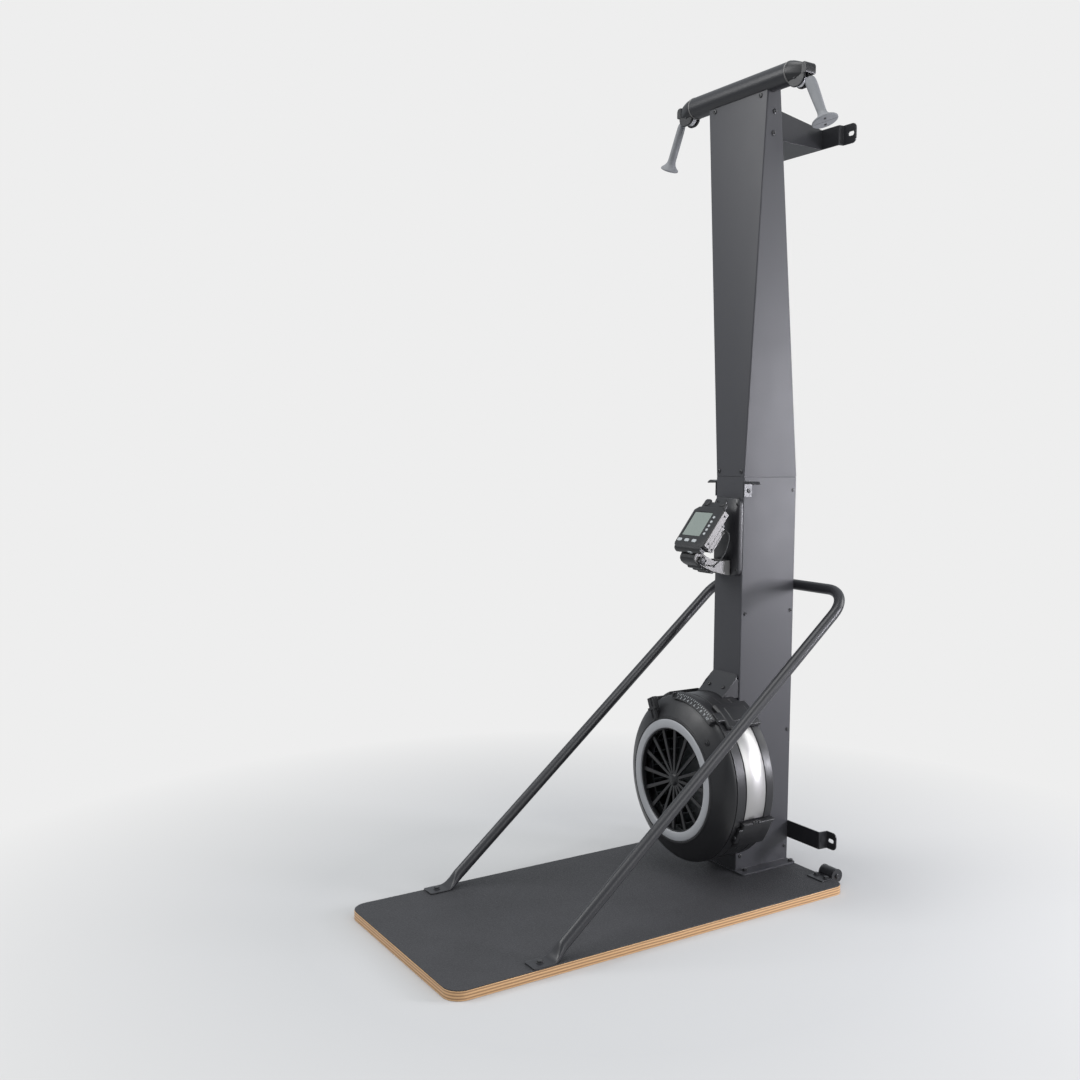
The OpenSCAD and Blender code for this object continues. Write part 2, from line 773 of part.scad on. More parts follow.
// Damper: a ring that turns on the pale ring, with its lever
module damper_ring() {
    lever_angle = 115;
    color([0.14, 0.14, 0.14]) translate([0, 0, fan_z]) {
        ring_y(trim_r + run_gap, shoulder_in - side_gap, trim_front + 1.5, damper_y);
        rotate([0, -lever_angle, 0]) {
            block([trim_r + 6, trim_front - 3, -12], [shoulder_in + 34, trim_front + 3.7, 12]);
            block([shoulder_in + 26, trim_front - 3, -18], [shoulder_in + 32, trim_front + 3.7, 18]);
            block([shoulder_in + 26, trim_front - 3, -14], [fan_r + 3, trim_front + 7.2, 14]);
        }
    }
}

// Flywheel: hub, disc and blades
module flywheel() {
    hub_r = 30;
    disc_y = shell_back - 30;
    blade_front = shoulder_y + 6;
    color([0.35, 0.35, 0.37]) translate([0, 0, fan_z]) difference() {
        union() {
            ring_y(0, hub_r, disc_y - 26, disc_y + 8);
            ring_y(0, fan_r - 13, disc_y, disc_y + 4);
            for (i = [0 : blade_count - 1])
                rotate([0, i * 360 / blade_count, 0])
                    block([fan_r - 80, blade_front, -1.5], [fan_r - 14, disc_y + 1, 1.5]);
            ring_y(fan_r - 82, fan_r - 14, blade_front - 2, blade_front + 1);
        }
        translate([0, disc_y - 40, 0]) rod_y(shaft_r + run_gap, 80);
    }
}

module drive_shaft() {
    color([0.6, 0.6, 0.62])
        translate([0, shell_back - 62, fan_z]) rod_y(shaft_r, shaft_end - shell_back + 62);
}

// Frame in the column that carries the bearings
module shaft_frame() {
    half = column_half - wall - seat_gap;
    front = column_front + wall;
    rear = shaft_end - 8;
    color([0.4, 0.4, 0.42]) difference() {
        union() {
            block([-half, front, fan_z - 75], [half, front + 4, fan_z + 60]);
            block([-half, rear, fan_z - 75], [half, rear + 4, fan_z + 60]);
            block([-half, front, fan_z - 75], [half, rear + 4, fan_z - 71]);
            translate([0, front, fan_z]) rod_y(bearing_r + 6, 4 + bearing_t);
            translate([0, rear - bearing_t, fan_z]) rod_y(bearing_r + 6, 4 + bearing_t);
        }
        translate([0, front - 1, fan_z]) rod_y(shaft_r + 4, 20);
        translate([0, front + 4, fan_z]) rod_y(bearing_r, bearing_t + 1);
        translate([0, rear - bearing_t - 1, fan_z]) rod_y(bearing_r, bearing_t + 1);
        translate([0, rear - 1, fan_z]) rod_y(shaft_r + 4, 10);
    }
}

module bearings() {
    color("silver") translate([0, 0, fan_z])
        for (y = [column_front + wall + 4, shaft_end - 8 - bearing_t])
            ring_y(shaft_r + 0.02, bearing_r - 0.01, y, y + bearing_t);
}

// Cord drum on the shaft, centred at y
module spool(y) {
    half = spool_t / 2;
    color([0.2, 0.2, 0.2]) translate([0, y, fan_z])
        turned_y([[shaft_r + run_gap, -half - 2], [18, -half - 2], [18, -half],
                  [spool_flange_r, -half], [spool_flange_r, -half + 3], [spool_r, -half + 3],
                  [spool_r, half - 3], [spool_flange_r, half - 3], [spool_flange_r, half],
                  [18, half], [18, half + 2], [shaft_r + run_gap, half + 2]]);
}

// Bracket that carries the two turn sheaves under the cross tube
module pulley_bracket() {
    front = column_front + wall;
    gap = sheave_hub_t + 2 * side_gap;
    plate = (2 * (tube_y - front) - gap) / 2;
    low = tube_z - 97;
    color([0.45, 0.45, 0.47]) {
        for (y = [front, front + plate + gap])
            block([-58, y, low], [58, y + plate, sheave_z + 12]);
        difference() {
            block([-58, front, low], [58, front + 2 * plate + gap, low + 3]);
            block([-22, tube_y - cord_r - 1.5, low - 1], [22, tube_y + cord_r + 4, low + 4]);
        }
        for (x = [-turn_sheave_x, turn_sheave_x])
            translate([x, front, sheave_z]) rod_y(sheave_pin_r, 2 * plate + gap);
    }
}

// Sheave with its groove, at x
module sheave(x) {
    color([0.75, 0.76, 0.78]) translate([x, tube_y, sheave_z])
        turned_y([[sheave_pin_r + run_gap, -sheave_hub_t / 2], [9, -sheave_hub_t / 2],
                  [9, -sheave_t / 2], [sheave_r, -sheave_t / 2], [sheave_r, -sheave_t / 2 + 1.5],
                  [sheave_groove_r, -2], [sheave_groove_r, 2],
                  [sheave_r, sheave_t / 2 - 1.5], [sheave_r, sheave_t / 2], [9, sheave_t / 2],
                  [9, sheave_hub_t / 2], [sheave_pin_r + run_gap, sheave_hub_t / 2]]);
}

// Frame of the nose block and the handle: the Z axis runs down along the handle
module along_handle(x, z) {
    translate([x, tube_y, z]) rotate([0, 180 - handle_tilt, 0]) children();
}

cheek_r = 27;
cheek_half = 16;

// Swivelling head on the right end of the cross tube: a dome with a boss, and two cheeks round
// the sheave
module head() {
    start = tube_half + ring_t + side_gap;
    slot_half = sheave_hub_t / 2 + side_gap;
    color([0.09, 0.09, 0.09]) {
        difference() {
            union() {
                translate([0, tube_y, tube_z]) rotate([90, 0, 90]) rotate_extrude()
                    polygon([[23, tube_half - 22], [tube_bore_r - run_gap, tube_half - 22],
                             [tube_bore_r - run_gap, start], [tube_r, start], [tube_r, start + 6],
                             [28.6, start + 14], [25.4, start + 21], [22.8, start + 28],
                             [22, start + 34], [22, head_end - 3], [19, head_end], [0, head_end],
                             [0, start + 6], [23, start + 6]]);
                difference() {
                    union() {
                        translate([head_sheave_x, tube_y - cheek_half, sheave_z])
                            rod_y(cheek_r, 2 * cheek_half);
                        translate([head_sheave_x + 7.5, tube_y - cheek_half, sheave_z + 8])
                            rounded_panel(42, 44, 2 * cheek_half, 7);
                    }
                    block([start - 20, tube_y - 30, sheave_z - 30],
                          [start + 0.5, tube_y + 30, sheave_z + 30]);
                }
            }
            translate([head_sheave_x, tube_y - slot_half, sheave_z])
                rod_y(sheave_r + 1.5, 2 * slot_half);
            block([start, tube_y - slot_half, sheave_z - 30],
                  [head_sheave_x, tube_y + slot_half, sheave_z + 12]);
            translate([start - 1, tube_y, tube_z + 2.5]) rod_x(5, 40);
            translate([nose_x, tube_y, nose_z]) rotate([0, -75, 0]) cylinder(r = 4.6, h = 40);
            translate([nose_x, tube_y, nose_z]) sphere(r = 5.4);
            along_handle(nose_x, nose_z) cylinder(r = 5, h = 30);
        }
        translate([head_sheave_x, tube_y - slot_half, sheave_z])
            rod_y(sheave_pin_r, 2 * slot_half);
        for (y = [tube_y - cheek_half - 3, tube_y + cheek_half])
            translate([head_sheave_x, y, sheave_z]) rod_y(6, 3);
    }
}

// Sections of a handle from its top down: distance, width and thickness, as shares of its length
// and of the grip's diameter
handle_sections = [
    [0, 0.85, 0.62], [0.015, 1.08, 0.8], [0.05, 1.24, 0.92], [0.12, 1.3, 0.96], [0.35, 1.26, 1],
    [0.65, 1.1, 1.01], [0.79, 1.04, 1.02], [0.85, 1.2, 1.14], [0.895, 1.6, 1.4],
    [0.935, 2.4, 1.9], [0.965, 3, 2.25], [0.99, 3.04, 2.28], [1, 2.9, 2.15]
];
handle_sides = 20;
// Turn of the handle's wide side about its own axis
handle_turn = 135;

// Handle: an oval grip that flares into an oval base
module handle() {
    color([0.45, 0.46, 0.48])
        along_handle(nose_x, nose_z) translate([0, 0, handle_out]) rotate([0, 0, handle_turn])
            skin_over([for (s = handle_sections)
                [for (k = [0 : handle_sides - 1])
                    [s[1] * grip_d / 2 * cos(360 * k / handle_sides),
                     s[2] * grip_d / 2 * sin(360 * k / handle_sides), s[0] * handle_l]]]);
}

// Visible piece of cord between the nose and the handle
module tail_cord() {
    start = nose_out + side_gap;
    color([0.05, 0.05, 0.05]) along_handle(nose_x, nose_z)
        translate([0, 0, start]) cylinder(r = cord_r, h = handle_out - start, $fn = 24);
}

// Frame of the monitor's face: X across, Z up along the face, Y into the case
module on_face() {
    translate([0, face_y, face_z]) rotate([-monitor_lean, 0, 0]) children();
}

mount_t = 14;

module monitor_mount() {
    color([0.1, 0.1, 0.1]) translate([5, column_front - mount_t, face_z + 25])
        rounded_panel(110, 220, mount_t, 18);
}

arm_out = 27;
arm_x = -10;

// Silver arm with the pin that the monitor tilts on
module monitor_arm() {
    back = column_front - mount_t;
    color("silver") translate([arm_x, 0, 0]) {
        for (x = [-arm_out - sheet_t - 7, arm_out + 7]) {
            block([x, hinge_y, hinge_z - 30], [x + sheet_t, back, arm_top]);
            block([x, hinge_y + 40, arm_low], [x + sheet_t, back, arm_top]);
            translate([x, hinge_y, hinge_z - 6]) rod_x(22, sheet_t);
        }
        block([-arm_out - 7, back - sheet_t, arm_low], [arm_out + 7, back, arm_top]);
        translate([-arm_out - 8, hinge_y, hinge_z]) rod_x(hinge_pin_r, 2 * arm_out + 16);
        translate([arm_out + sheet_t + 7, hinge_y, hinge_z]) rod_x(9, 6);
    }
}

screen_x = -14.5;
screen_w = 77;
screen_from = 37.5;
screen_h = 78.5;
key_x = 40;
key_rows = [46.5, 60, 73.5, 87, 102];
key_r = 4.5;
menu_key_x = [-50, -17.5, 15];
menu_key_row = 21;
menu_key_w = 19;
menu_key_h = 10;
case_depth = 20.5;
key_travel = 1;

// Round front of the case: face with rounded corners, sides and the hinge body under it
module monitor_case() {
    color([0.08, 0.08, 0.08]) {
        difference() {
            union() {
                on_face() {
                    translate([0, 0, monitor_h / 2])
                        rounded_panel(monitor_w, monitor_h, case_depth, 10);
                    translate([0, case_depth, 56]) rounded_panel(110, 92, 18, 8);
                    translate([0, 6, monitor_h + 6]) rounded_panel(104, 36, 7, 10);
                    for (x = [-34, 34])
                        translate([x, 3, monitor_h + 19]) rounded_panel(26, 20, 7, 9);
                }
                translate([arm_x, 0, 0]) {
                    block([-arm_out - 6, hinge_y - 20, hinge_z - 30],
                          [arm_out + 6, hinge_y + 62, hinge_z + 6]);
                    translate([-arm_out - 6, hinge_y, hinge_z]) rod_x(22, 2 * arm_out + 12);
                    block([-arm_out - 6, hinge_y - 20, hinge_z],
                          [arm_out + 6, hinge_y + 30, face_z - 12]);
                }
            }
            on_face() {
                block([screen_x - screen_w / 2, -1, screen_from],
                      [screen_x + screen_w / 2, 3, screen_from + screen_h]);
                for (z = key_rows)
                    translate([key_x, -1, z]) rod_y(key_r + side_gap, 9);
                for (x = menu_key_x)
                    block([x - menu_key_w / 2 - side_gap, -1, menu_key_row - menu_key_h / 2 - side_gap],
                          [x + menu_key_w / 2 + side_gap, 8, menu_key_row + menu_key_h / 2 + side_gap]);
            }
            translate([-60, hinge_y, hinge_z]) rod_x(hinge_pin_r + run_gap, 100);
        }
    }
}

// Silver side strips and the plate behind the case
module monitor_back() {
    color("silver") on_face() {
        both_sides()
            block([monitor_w / 2, 2, 12], [monitor_w / 2 + 2.5, case_depth, monitor_h - 12]);
        translate([0, case_depth + 18, 60]) rounded_panel(100, 80, 7, 8);
    }
}

module monitor_screen() {
    color([0.5, 0.55, 0.5]) on_face()
        block([screen_x - screen_w / 2 + seat_gap, 1, screen_from + seat_gap],
              [screen_x + screen_w / 2 - seat_gap, 3, screen_from + screen_h - seat_gap]);
}

// Round key in row i
module key(i) {
    color([0.8, 0.82, 0.82]) on_face() translate([key_x, -1.5, key_rows[i]])
        rod_y(key_r, 1.5 + 8 - key_travel - 0.2);
}

// Wide key in column i of the lower row
module menu_key(i) {
    color([0.8, 0.82, 0.82]) on_face() translate([menu_key_x[i], -1.5, menu_key_row])
        rounded_panel(menu_key_w, menu_key_h, 1.5 + 8 - key_travel - 0.2, 4);
}

module monitor_cable() {
    color([0.05, 0.05, 0.05]) cord_along(cable_route, 2, [0, 1, -0.3]);
}

module drive_cord(route) {
    color([0.05, 0.05, 0.05]) cord_along(route, cord_r, [0, 1, 0]);
}

deck_board();
deck_mat();
fasteners();
column_lower();
column_lower_back();
column_upper();
column_upper_back();
column_sleeve();
head_tube();
swivel_rings();
wall_bracket_upper();
wall_bracket_lower();
storage_hooks();
brace_rail();
wheel_brackets();
neck_bracket();
fan_front_shell();
fan_trim_ring();
fan_grille();
fan_bands();
fan_rear_shell();
fan_clamps();
shaft_frame();
bearings();
pulley_bracket();
drive_cord(drive_route(spool_right_y, 1));  // cord_right
drive_cord(drive_route(spool_left_y, -1));  // cord_left
monitor_mount();
monitor_arm();
flywheel();
drive_shaft();
damper_ring();
spool(spool_right_y);  // spool_right
spool(spool_left_y);  // spool_left
sheave(turn_sheave_x);  // turn_sheave_right
mirror([1, 0, 0]) sheave(turn_sheave_x);  // turn_sheave_left
head();  // head_right
mirror([1, 0, 0]) head();  // head_left
sheave(head_sheave_x);  // head_sheave_right
mirror([1, 0, 0]) sheave(head_sheave_x);  // head_sheave_left
drive_cord(nose_route);  // nose_cord_right
mirror([1, 0, 0]) drive_cord(nose_route);  // nose_cord_left
handle();  // handle_right
mirror([1, 0, 0]) handle();  // handle_left
tail_cord();  // tail_cord_right
mirror([1, 0, 0]) tail_cord();  // tail_cord_left
wheel();  // wheel_right
mirror([1, 0, 0]) wheel();  // wheel_left
monitor_case();
monitor_back();
monitor_screen();
key(0);  // key_1
key(1);  // key_2
key(2);  // key_3
key(3);  // key_4
key(4);  // key_5
menu_key(0);  // menu_key_1
menu_key(1);  // menu_key_2
menu_key(2);  // menu_key_3
monitor_cable();
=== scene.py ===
"""Looks of a standing ski trainer: dressed pieces, materials, camera, light and floor.

Lengths below are millimetres in the frame of the CAD part; MM turns them into metres.
"""
import json
import math

import bmesh
import bpy
from mathutils import Matrix, Vector


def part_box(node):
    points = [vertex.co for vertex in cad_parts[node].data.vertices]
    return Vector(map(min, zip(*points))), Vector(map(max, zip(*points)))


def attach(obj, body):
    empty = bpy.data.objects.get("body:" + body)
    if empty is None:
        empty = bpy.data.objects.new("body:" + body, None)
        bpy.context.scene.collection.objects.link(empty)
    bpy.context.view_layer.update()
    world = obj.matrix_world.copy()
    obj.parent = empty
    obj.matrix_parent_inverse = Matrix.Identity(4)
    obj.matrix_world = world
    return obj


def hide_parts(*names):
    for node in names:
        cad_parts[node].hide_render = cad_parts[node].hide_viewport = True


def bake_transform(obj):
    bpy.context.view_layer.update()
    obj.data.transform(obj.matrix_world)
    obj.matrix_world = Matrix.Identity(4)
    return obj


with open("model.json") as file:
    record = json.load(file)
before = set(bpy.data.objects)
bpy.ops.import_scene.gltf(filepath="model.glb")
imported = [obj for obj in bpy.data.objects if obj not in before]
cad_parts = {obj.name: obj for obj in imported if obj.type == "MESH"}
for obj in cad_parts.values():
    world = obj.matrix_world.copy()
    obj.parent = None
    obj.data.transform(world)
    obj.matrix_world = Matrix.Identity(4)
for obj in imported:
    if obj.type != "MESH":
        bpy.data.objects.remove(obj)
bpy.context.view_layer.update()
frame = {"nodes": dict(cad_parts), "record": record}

MM = 0.001


def new_object(name, data):
    obj = bpy.data.objects.new(name, data)
    bpy.context.scene.collection.objects.link(obj)
    return obj


def low(node):
    """Lowest corner of a CAD node, in millimetres."""
    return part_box(node)[0] / MM


def high(node):
    """Highest corner of a CAD node, in millimetres."""
    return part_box(node)[1] / MM


# Places taken from the frame
DECK_LOW, DECK_HIGH = low("deck_board"), high("deck_mat")
BOARD_TOP = high("deck_board").z
COLUMN_FRONT = low("column_upper").y
COLUMN_BACK = high("column_lower").y
COLUMN_HALF = high("column_lower_back").x + 3
SEAM_Z = high("column_lower").z
COLUMN_TOP = high("column_upper").z
TOP_HALF = high("column_upper").x
TUBE_LOW, TUBE_HIGH = low("head_tube"), high("head_tube")
TUBE_R = (TUBE_HIGH.z - TUBE_LOW.z) / 2
TUBE_Y = (TUBE_HIGH.y + TUBE_LOW.y) / 2
TUBE_Z = (TUBE_HIGH.z + TUBE_LOW.z) / 2
TUBE_HALF = TUBE_HIGH.x
FAN_Z = (high("drive_shaft").z + low("drive_shaft").z) / 2
FAN_R = (high("fan_rear_shell").x - low("fan_rear_shell").x) / 2
TRIM_FRONT = low("fan_trim_ring").y
SHELL_BACK = COLUMN_FRONT - 16
WALL = 3


# Camera, fitted to the photograph

CAMERA_PLACE = (2558.5, -1720.8, 1225.7)
CAMERA_YAW = 55.16
CAMERA_PITCH = 5.01
CAMERA_ROLL = 0.74
CAMERA_LENS = 39.0
CAMERA_SHIFT = (-0.0809, 0.0128)


def make_camera():
    yaw, pitch, roll = (math.radians(a) for a in (CAMERA_YAW, CAMERA_PITCH, CAMERA_ROLL))
    ahead = Vector((-math.sin(yaw) * math.cos(pitch), math.cos(yaw) * math.cos(pitch),
                    -math.sin(pitch)))
    right = Vector((math.cos(yaw), math.sin(yaw), 0))
    up = right.cross(ahead)
    right_rolled = right * math.cos(roll) + up * math.sin(roll)
    up_rolled = up * math.cos(roll) - right * math.sin(roll)
    data = bpy.data.cameras.new("camera")
    data.lens = CAMERA_LENS
    data.sensor_width = 36
    data.shift_x, data.shift_y = CAMERA_SHIFT
    data.clip_end = 100
    camera = new_object("camera", data)
    turn = Matrix((right_rolled, up_rolled, -ahead)).transposed().to_4x4()
    camera.matrix_world = Matrix.Translation(Vector(CAMERA_PLACE) * MM) @ turn
    bpy.context.scene.camera = camera


make_camera()


# Materials

def new_material(name, color, rough, metal=0.0, **sockets):
    """Material with one shader; sockets are further inputs of the shader, such as Coat Weight."""
    mat = bpy.data.materials.new(name)
    mat.use_nodes = True
    shader = mat.node_tree.nodes["Principled BSDF"]
    shader.inputs["Base Color"].default_value = (*color, 1)
    shader.inputs["Roughness"].default_value = rough
    shader.inputs["Metallic"].default_value = metal
    for key, value in sockets.items():
        shader.inputs[key.replace("_", " ")].default_value = value
    return mat


def node(mat, kind, **values):
    made = mat.node_tree.nodes.new(kind)
    for key, value in values.items():
        if key in made.inputs:
            made.inputs[key].default_value = value
        else:
            setattr(made, key, value)
    return made


def link(mat, source, target):
    mat.node_tree.links.new(source, target)


def maths(mat, operation, *inputs):
    """Result of a Math node; each input is a number or another node's output."""
    made = node(mat, "ShaderNodeMath", operation=operation)
    for socket, value in zip(made.inputs, inputs):
        if isinstance(value, (int, float)):
            socket.default_value = value
        else:
            link(mat, value, socket)
    return made.outputs[0]


def mix_shaders(mat, share, first, second, out):
    """Surface that goes from the first shader to the second as share goes from 0 to 1."""
    mix = node(mat, "ShaderNodeMixShader")
    link(mat, share, mix.inputs["Fac"])
    link(mat, first.outputs[0], mix.inputs[1])
    link(mat, second.outputs[0], mix.inputs[2])
    link(mat, mix.outputs[0], out.inputs["Surface"])


def surface_place(mat, scale=(1, 1, 1)):
    """Place on the object's surface in metres, stretched by scale."""
    coordinates = node(mat, "ShaderNodeTexCoord")
    mapping = node(mat, "ShaderNodeMapping", Scale=scale)
    link(mat, coordinates.outputs["Object"], mapping.inputs["Vector"])
    return mapping.outputs["Vector"]


def noise(mat, scale, detail=3.0, stretch=(1, 1, 1), rough=0.5):
    made = node(mat, "ShaderNodeTexNoise", Scale=scale, Detail=detail, Roughness=rough)
    link(mat, surface_place(mat, stretch), made.inputs["Vector"])
    return made.outputs["Fac"]


def cells(mat, scale, stretch=(1, 1, 1)):
    made = node(mat, "ShaderNodeTexVoronoi", Scale=scale)
    link(mat, surface_place(mat, stretch), made.inputs["Vector"])
    return made.outputs["Distance"]


def to_range(mat, value, low_out, high_out, low_in=0.3, high_in=0.7):
    made = node(mat, "ShaderNodeMapRange")
    for key, number in zip(("From Min", "From Max", "To Min", "To Max"),
                           (low_in, high_in, low_out, high_out)):
        made.inputs[key].default_value = number
    link(mat, value, made.inputs["Value"])
    return made.outputs["Result"]


def color_between(mat, value, color_a, color_b):
    ramp = node(mat, "ShaderNodeValToRGB")
    ramp.color_ramp.elements[0].color = (*color_a, 1)
    ramp.color_ramp.elements[1].color = (*color_b, 1)
    link(mat, value, ramp.inputs["Fac"])
    return ramp.outputs["Color"]


def shader_of(mat):
    return mat.node_tree.nodes["Principled BSDF"]


def set_bump(mat, height, depth_mm, strength=1.0, edge_mm=0.0):
    """Bump of that depth; edge_mm also rounds the look of sharp edges."""
    bump = node(mat, "ShaderNodeBump", Strength=strength, Distance=depth_mm * MM)
    link(mat, height, bump.inputs["Height"])
    if edge_mm:
        edge = node(mat, "ShaderNodeBevel", samples=4, Radius=edge_mm * MM)
        link(mat, edge.outputs["Normal"], bump.inputs["Normal"])
    link(mat, bump.outputs["Normal"], shader_of(mat).inputs["Normal"])


def set_roughness(mat, value, low_out, high_out):
    link(mat, to_range(mat, value, low_out, high_out), shader_of(mat).inputs["Roughness"])


def set_color(mat, value, color_a, color_b):
    link(mat, color_between(mat, value, color_a, color_b), shader_of(mat).inputs["Base Color"])


def powder_coat(name, color, rough, grain_mm=0.9, depth_mm=0.05, edge_mm=1.0):
    """Powder coat: fine orange peel, slightly uneven gloss and tone."""
    mat = new_material(name, color, rough, Specular_IOR_Level=0.5)
    set_roughness(mat, noise(mat, 14, 4), rough - 0.012, rough + 0.018)
    darker = tuple(0.9 * c for c in color)
    set_color(mat, noise(mat, 5, 5), darker, color)
    set_bump(mat, noise(mat, 1000 / grain_mm, 2), depth_mm, 0.6, edge_mm)
    return mat


def moulded_plastic(name, color, rough, grain_mm=0.6, depth_mm=0.04, edge_mm=0.6):
    """Moulded plastic: spark-eroded grain with faint handling marks."""
    mat = new_material(name, color, rough, Specular_IOR_Level=0.45)
    set_roughness(mat, noise(mat, 30, 6, rough=0.7), rough - 0.06, rough + 0.07)
    darker = tuple(0.88 * c for c in color)
    set_color(mat, noise(mat, 12, 5), darker, color)
    set_bump(mat, noise(mat, 1000 / grain_mm, 2), depth_mm, 0.5, edge_mm)
    return mat


def brushed_metal(name, color, rough, along, depth_mm=0.02):
    """Brushed metal: hair lines along one axis, given as a stretch of the noise."""
    mat = new_material(name, color, rough, metal=1.0)
    lines = noise(mat, 1, 6, along, 0.65)
    set_roughness(mat, lines, rough - 0.09, rough + 0.12)
    darker = tuple(0.8 * c for c in color)
    set_color(mat, lines, darker, color)
    set_bump(mat, lines, depth_mm, 0.5)
    return mat


def turned_metal(name, color, rough):
    mat = new_material(name, color, rough, metal=1.0)
    set_roughness(mat, noise(mat, 300, 4), rough - 0.06, rough + 0.08)
    set_bump(mat, noise(mat, 1200, 2), 0.01, 0.4, 0.3)
    return mat


def satin_metal(name, color, rough):
    """Blasted and clear-coated metal, almost even."""
    mat = new_material(name, color, rough, metal=0.35)
    set_roughness(mat, noise(mat, 900, 2), rough - 0.03, rough + 0.04)
    set_bump(mat, noise(mat, 1600, 2), 0.006, 0.3, 0.5)
    return mat


# Height of a light ply and a dark one together
PLY_PAIR = 7.2


def plywood():
    """Plywood seen on its edge: plies by height, each with its own grain and tone."""
    mat = new_material("plywood", (0.5, 0.3, 0.15), 0.5, Coat_Weight=0.15, Coat_Roughness=0.35)
    coordinates = node(mat, "ShaderNodeTexCoord")
    split = node(mat, "ShaderNodeSeparateXYZ")
    link(mat, coordinates.outputs["Object"], split.inputs["Vector"])
    wave = maths(mat, "MULTIPLY", split.outputs["Z"], 2 * math.pi / (PLY_PAIR * MM))
    sway = maths(mat, "ADD", wave, to_range(mat, noise(mat, 6, 2), -0.5, 0.5))
    ply = to_range(mat, maths(mat, "SINE", sway), 0, 1, -0.6, 0.6)
    grain = noise(mat, 1, 7, (55, 55, 2400), 0.7)
    light = color_between(mat, grain, (0.47, 0.27, 0.125), (0.78, 0.5, 0.26))
    dark = color_between(mat, grain, (0.2, 0.1, 0.042), (0.44, 0.25, 0.12))
    mix = node(mat, "ShaderNodeMix", data_type="RGBA")
    link(mat, ply, mix.inputs["Factor"])
    link(mat, dark, mix.inputs[6])
    link(mat, light, mix.inputs[7])
    link(mat, mix.outputs[2], shader_of(mat).inputs["Base Color"])
    set_bump(mat, grain, 0.12, 0.5, 0.8)
    set_roughness(mat, grain, 0.42, 0.6)
    return mat


def pebbled_rubber():
    """Rubber mat with a fine pebbled skin."""
    mat = new_material("mat_rubber", (0.03, 0.03, 0.032), 0.62, Specular_IOR_Level=0.45)
    pebbles = cells(mat, 330)
    lumps = to_range(mat, pebbles, 1.0, 0.0, 0.05, 0.75)
    set_bump(mat, lumps, 0.9, 0.85, 1.2)
    set_color(mat, noise(mat, 7, 6, rough=0.6), (0.024, 0.024, 0.026), (0.042, 0.042, 0.046))
    set_roughness(mat, noise(mat, 200, 3), 0.5, 0.72)
    return mat


def braided_cord(name):
    mat = new_material(name, (0.018, 0.018, 0.02), 0.75, Sheen_Weight=0.3)
    set_bump(mat, cells(mat, 900, (1, 1, 0.6)), 0.3, 0.8)
    set_color(mat, noise(mat, 400, 3), (0.012, 0.012, 0.013), (0.03, 0.03, 0.032))
    return mat


def soft_grip():
    mat = new_material("grip_rubber", (0.2, 0.205, 0.215), 0.6, Specular_IOR_Level=0.4)
    set_color(mat, noise(mat, 25, 5), (0.17, 0.175, 0.185), (0.22, 0.225, 0.235))
    set_roughness(mat, noise(mat, 60, 4), 0.52, 0.7)
    set_bump(mat, noise(mat, 1500, 2), 0.03, 0.5, 0.5)
    return mat


def display_glass():
    """Grey-green display behind a window, faintly uneven."""
    mat = new_material("display", (0.2, 0.235, 0.21), 0.16, Coat_Weight=1.0, Coat_Roughness=0.06)
    set_color(mat, noise(mat, 28, 3), (0.185, 0.22, 0.195), (0.225, 0.26, 0.235))
    set_bump(mat, noise(mat, 900, 1), 0.004, 0.3)
    return mat


MATS = {
    "plywood": plywood(),
    "mat_rubber": pebbled_rubber(),
    "black_zinc": powder_coat("black_zinc", (0.03, 0.03, 0.032), 0.34, 0.5, 0.02, 0.5),
    "column_paint": powder_coat("column_paint", (0.042, 0.042, 0.048), 0.46),
    "black_paint": powder_coat("black_paint", (0.022, 0.022, 0.025), 0.34),
    "bare_steel": turned_metal("bare_steel", (0.5, 0.5, 0.5), 0.35),
    "silver_ring": satin_metal("silver_ring", (0.17, 0.165, 0.163), 0.45),
    "black_plastic": moulded_plastic("black_plastic", (0.013, 0.013, 0.0145), 0.37),
    "pale_plastic": moulded_plastic("pale_plastic", (0.36, 0.365, 0.38), 0.38),
    "steel_band": brushed_metal("steel_band", (0.47, 0.462, 0.455), 0.38, (60, 1600, 40)),
    "flywheel_metal": turned_metal("flywheel_metal", (0.3, 0.31, 0.32), 0.5),
    "sheave_metal": turned_metal("sheave_metal", (0.7, 0.7, 0.72), 0.3),
    "cord_sheath": braided_cord("cord_sheath"),
    "grip_rubber": soft_grip(),
    "wheel_rubber": moulded_plastic("wheel_rubber", (0.02, 0.02, 0.02), 0.6, 1.0, 0.1),
    "display": display_glass(),
    "key_plastic": moulded_plastic("key_plastic", (0.46, 0.48, 0.49), 0.42),
}

for part in frame["record"]["subparts"]:
    shown = frame["nodes"][part["node"]]
    shown.data.materials.clear()
    shown.data.materials.append(MATS[part["material_slot"]])


# Shapes: each is a pair, its points in millimetres and its faces

def box_shape(corner_a, corner_b):
    (x0, y0, z0), (x1, y1, z1) = corner_a, corner_b
    points = [Vector(p) for p in ((x0, y0, z0), (x1, y0, z0), (x1, y1, z0), (x0, y1, z0),
                                  (x0, y0, z1), (x1, y0, z1), (x1, y1, z1), (x0, y1, z1))]
    faces = [(0, 3, 2, 1), (4, 5, 6, 7), (0, 1, 5, 4), (1, 2, 6, 5), (2, 3, 7, 6), (3, 0, 4, 7)]
    return points, faces


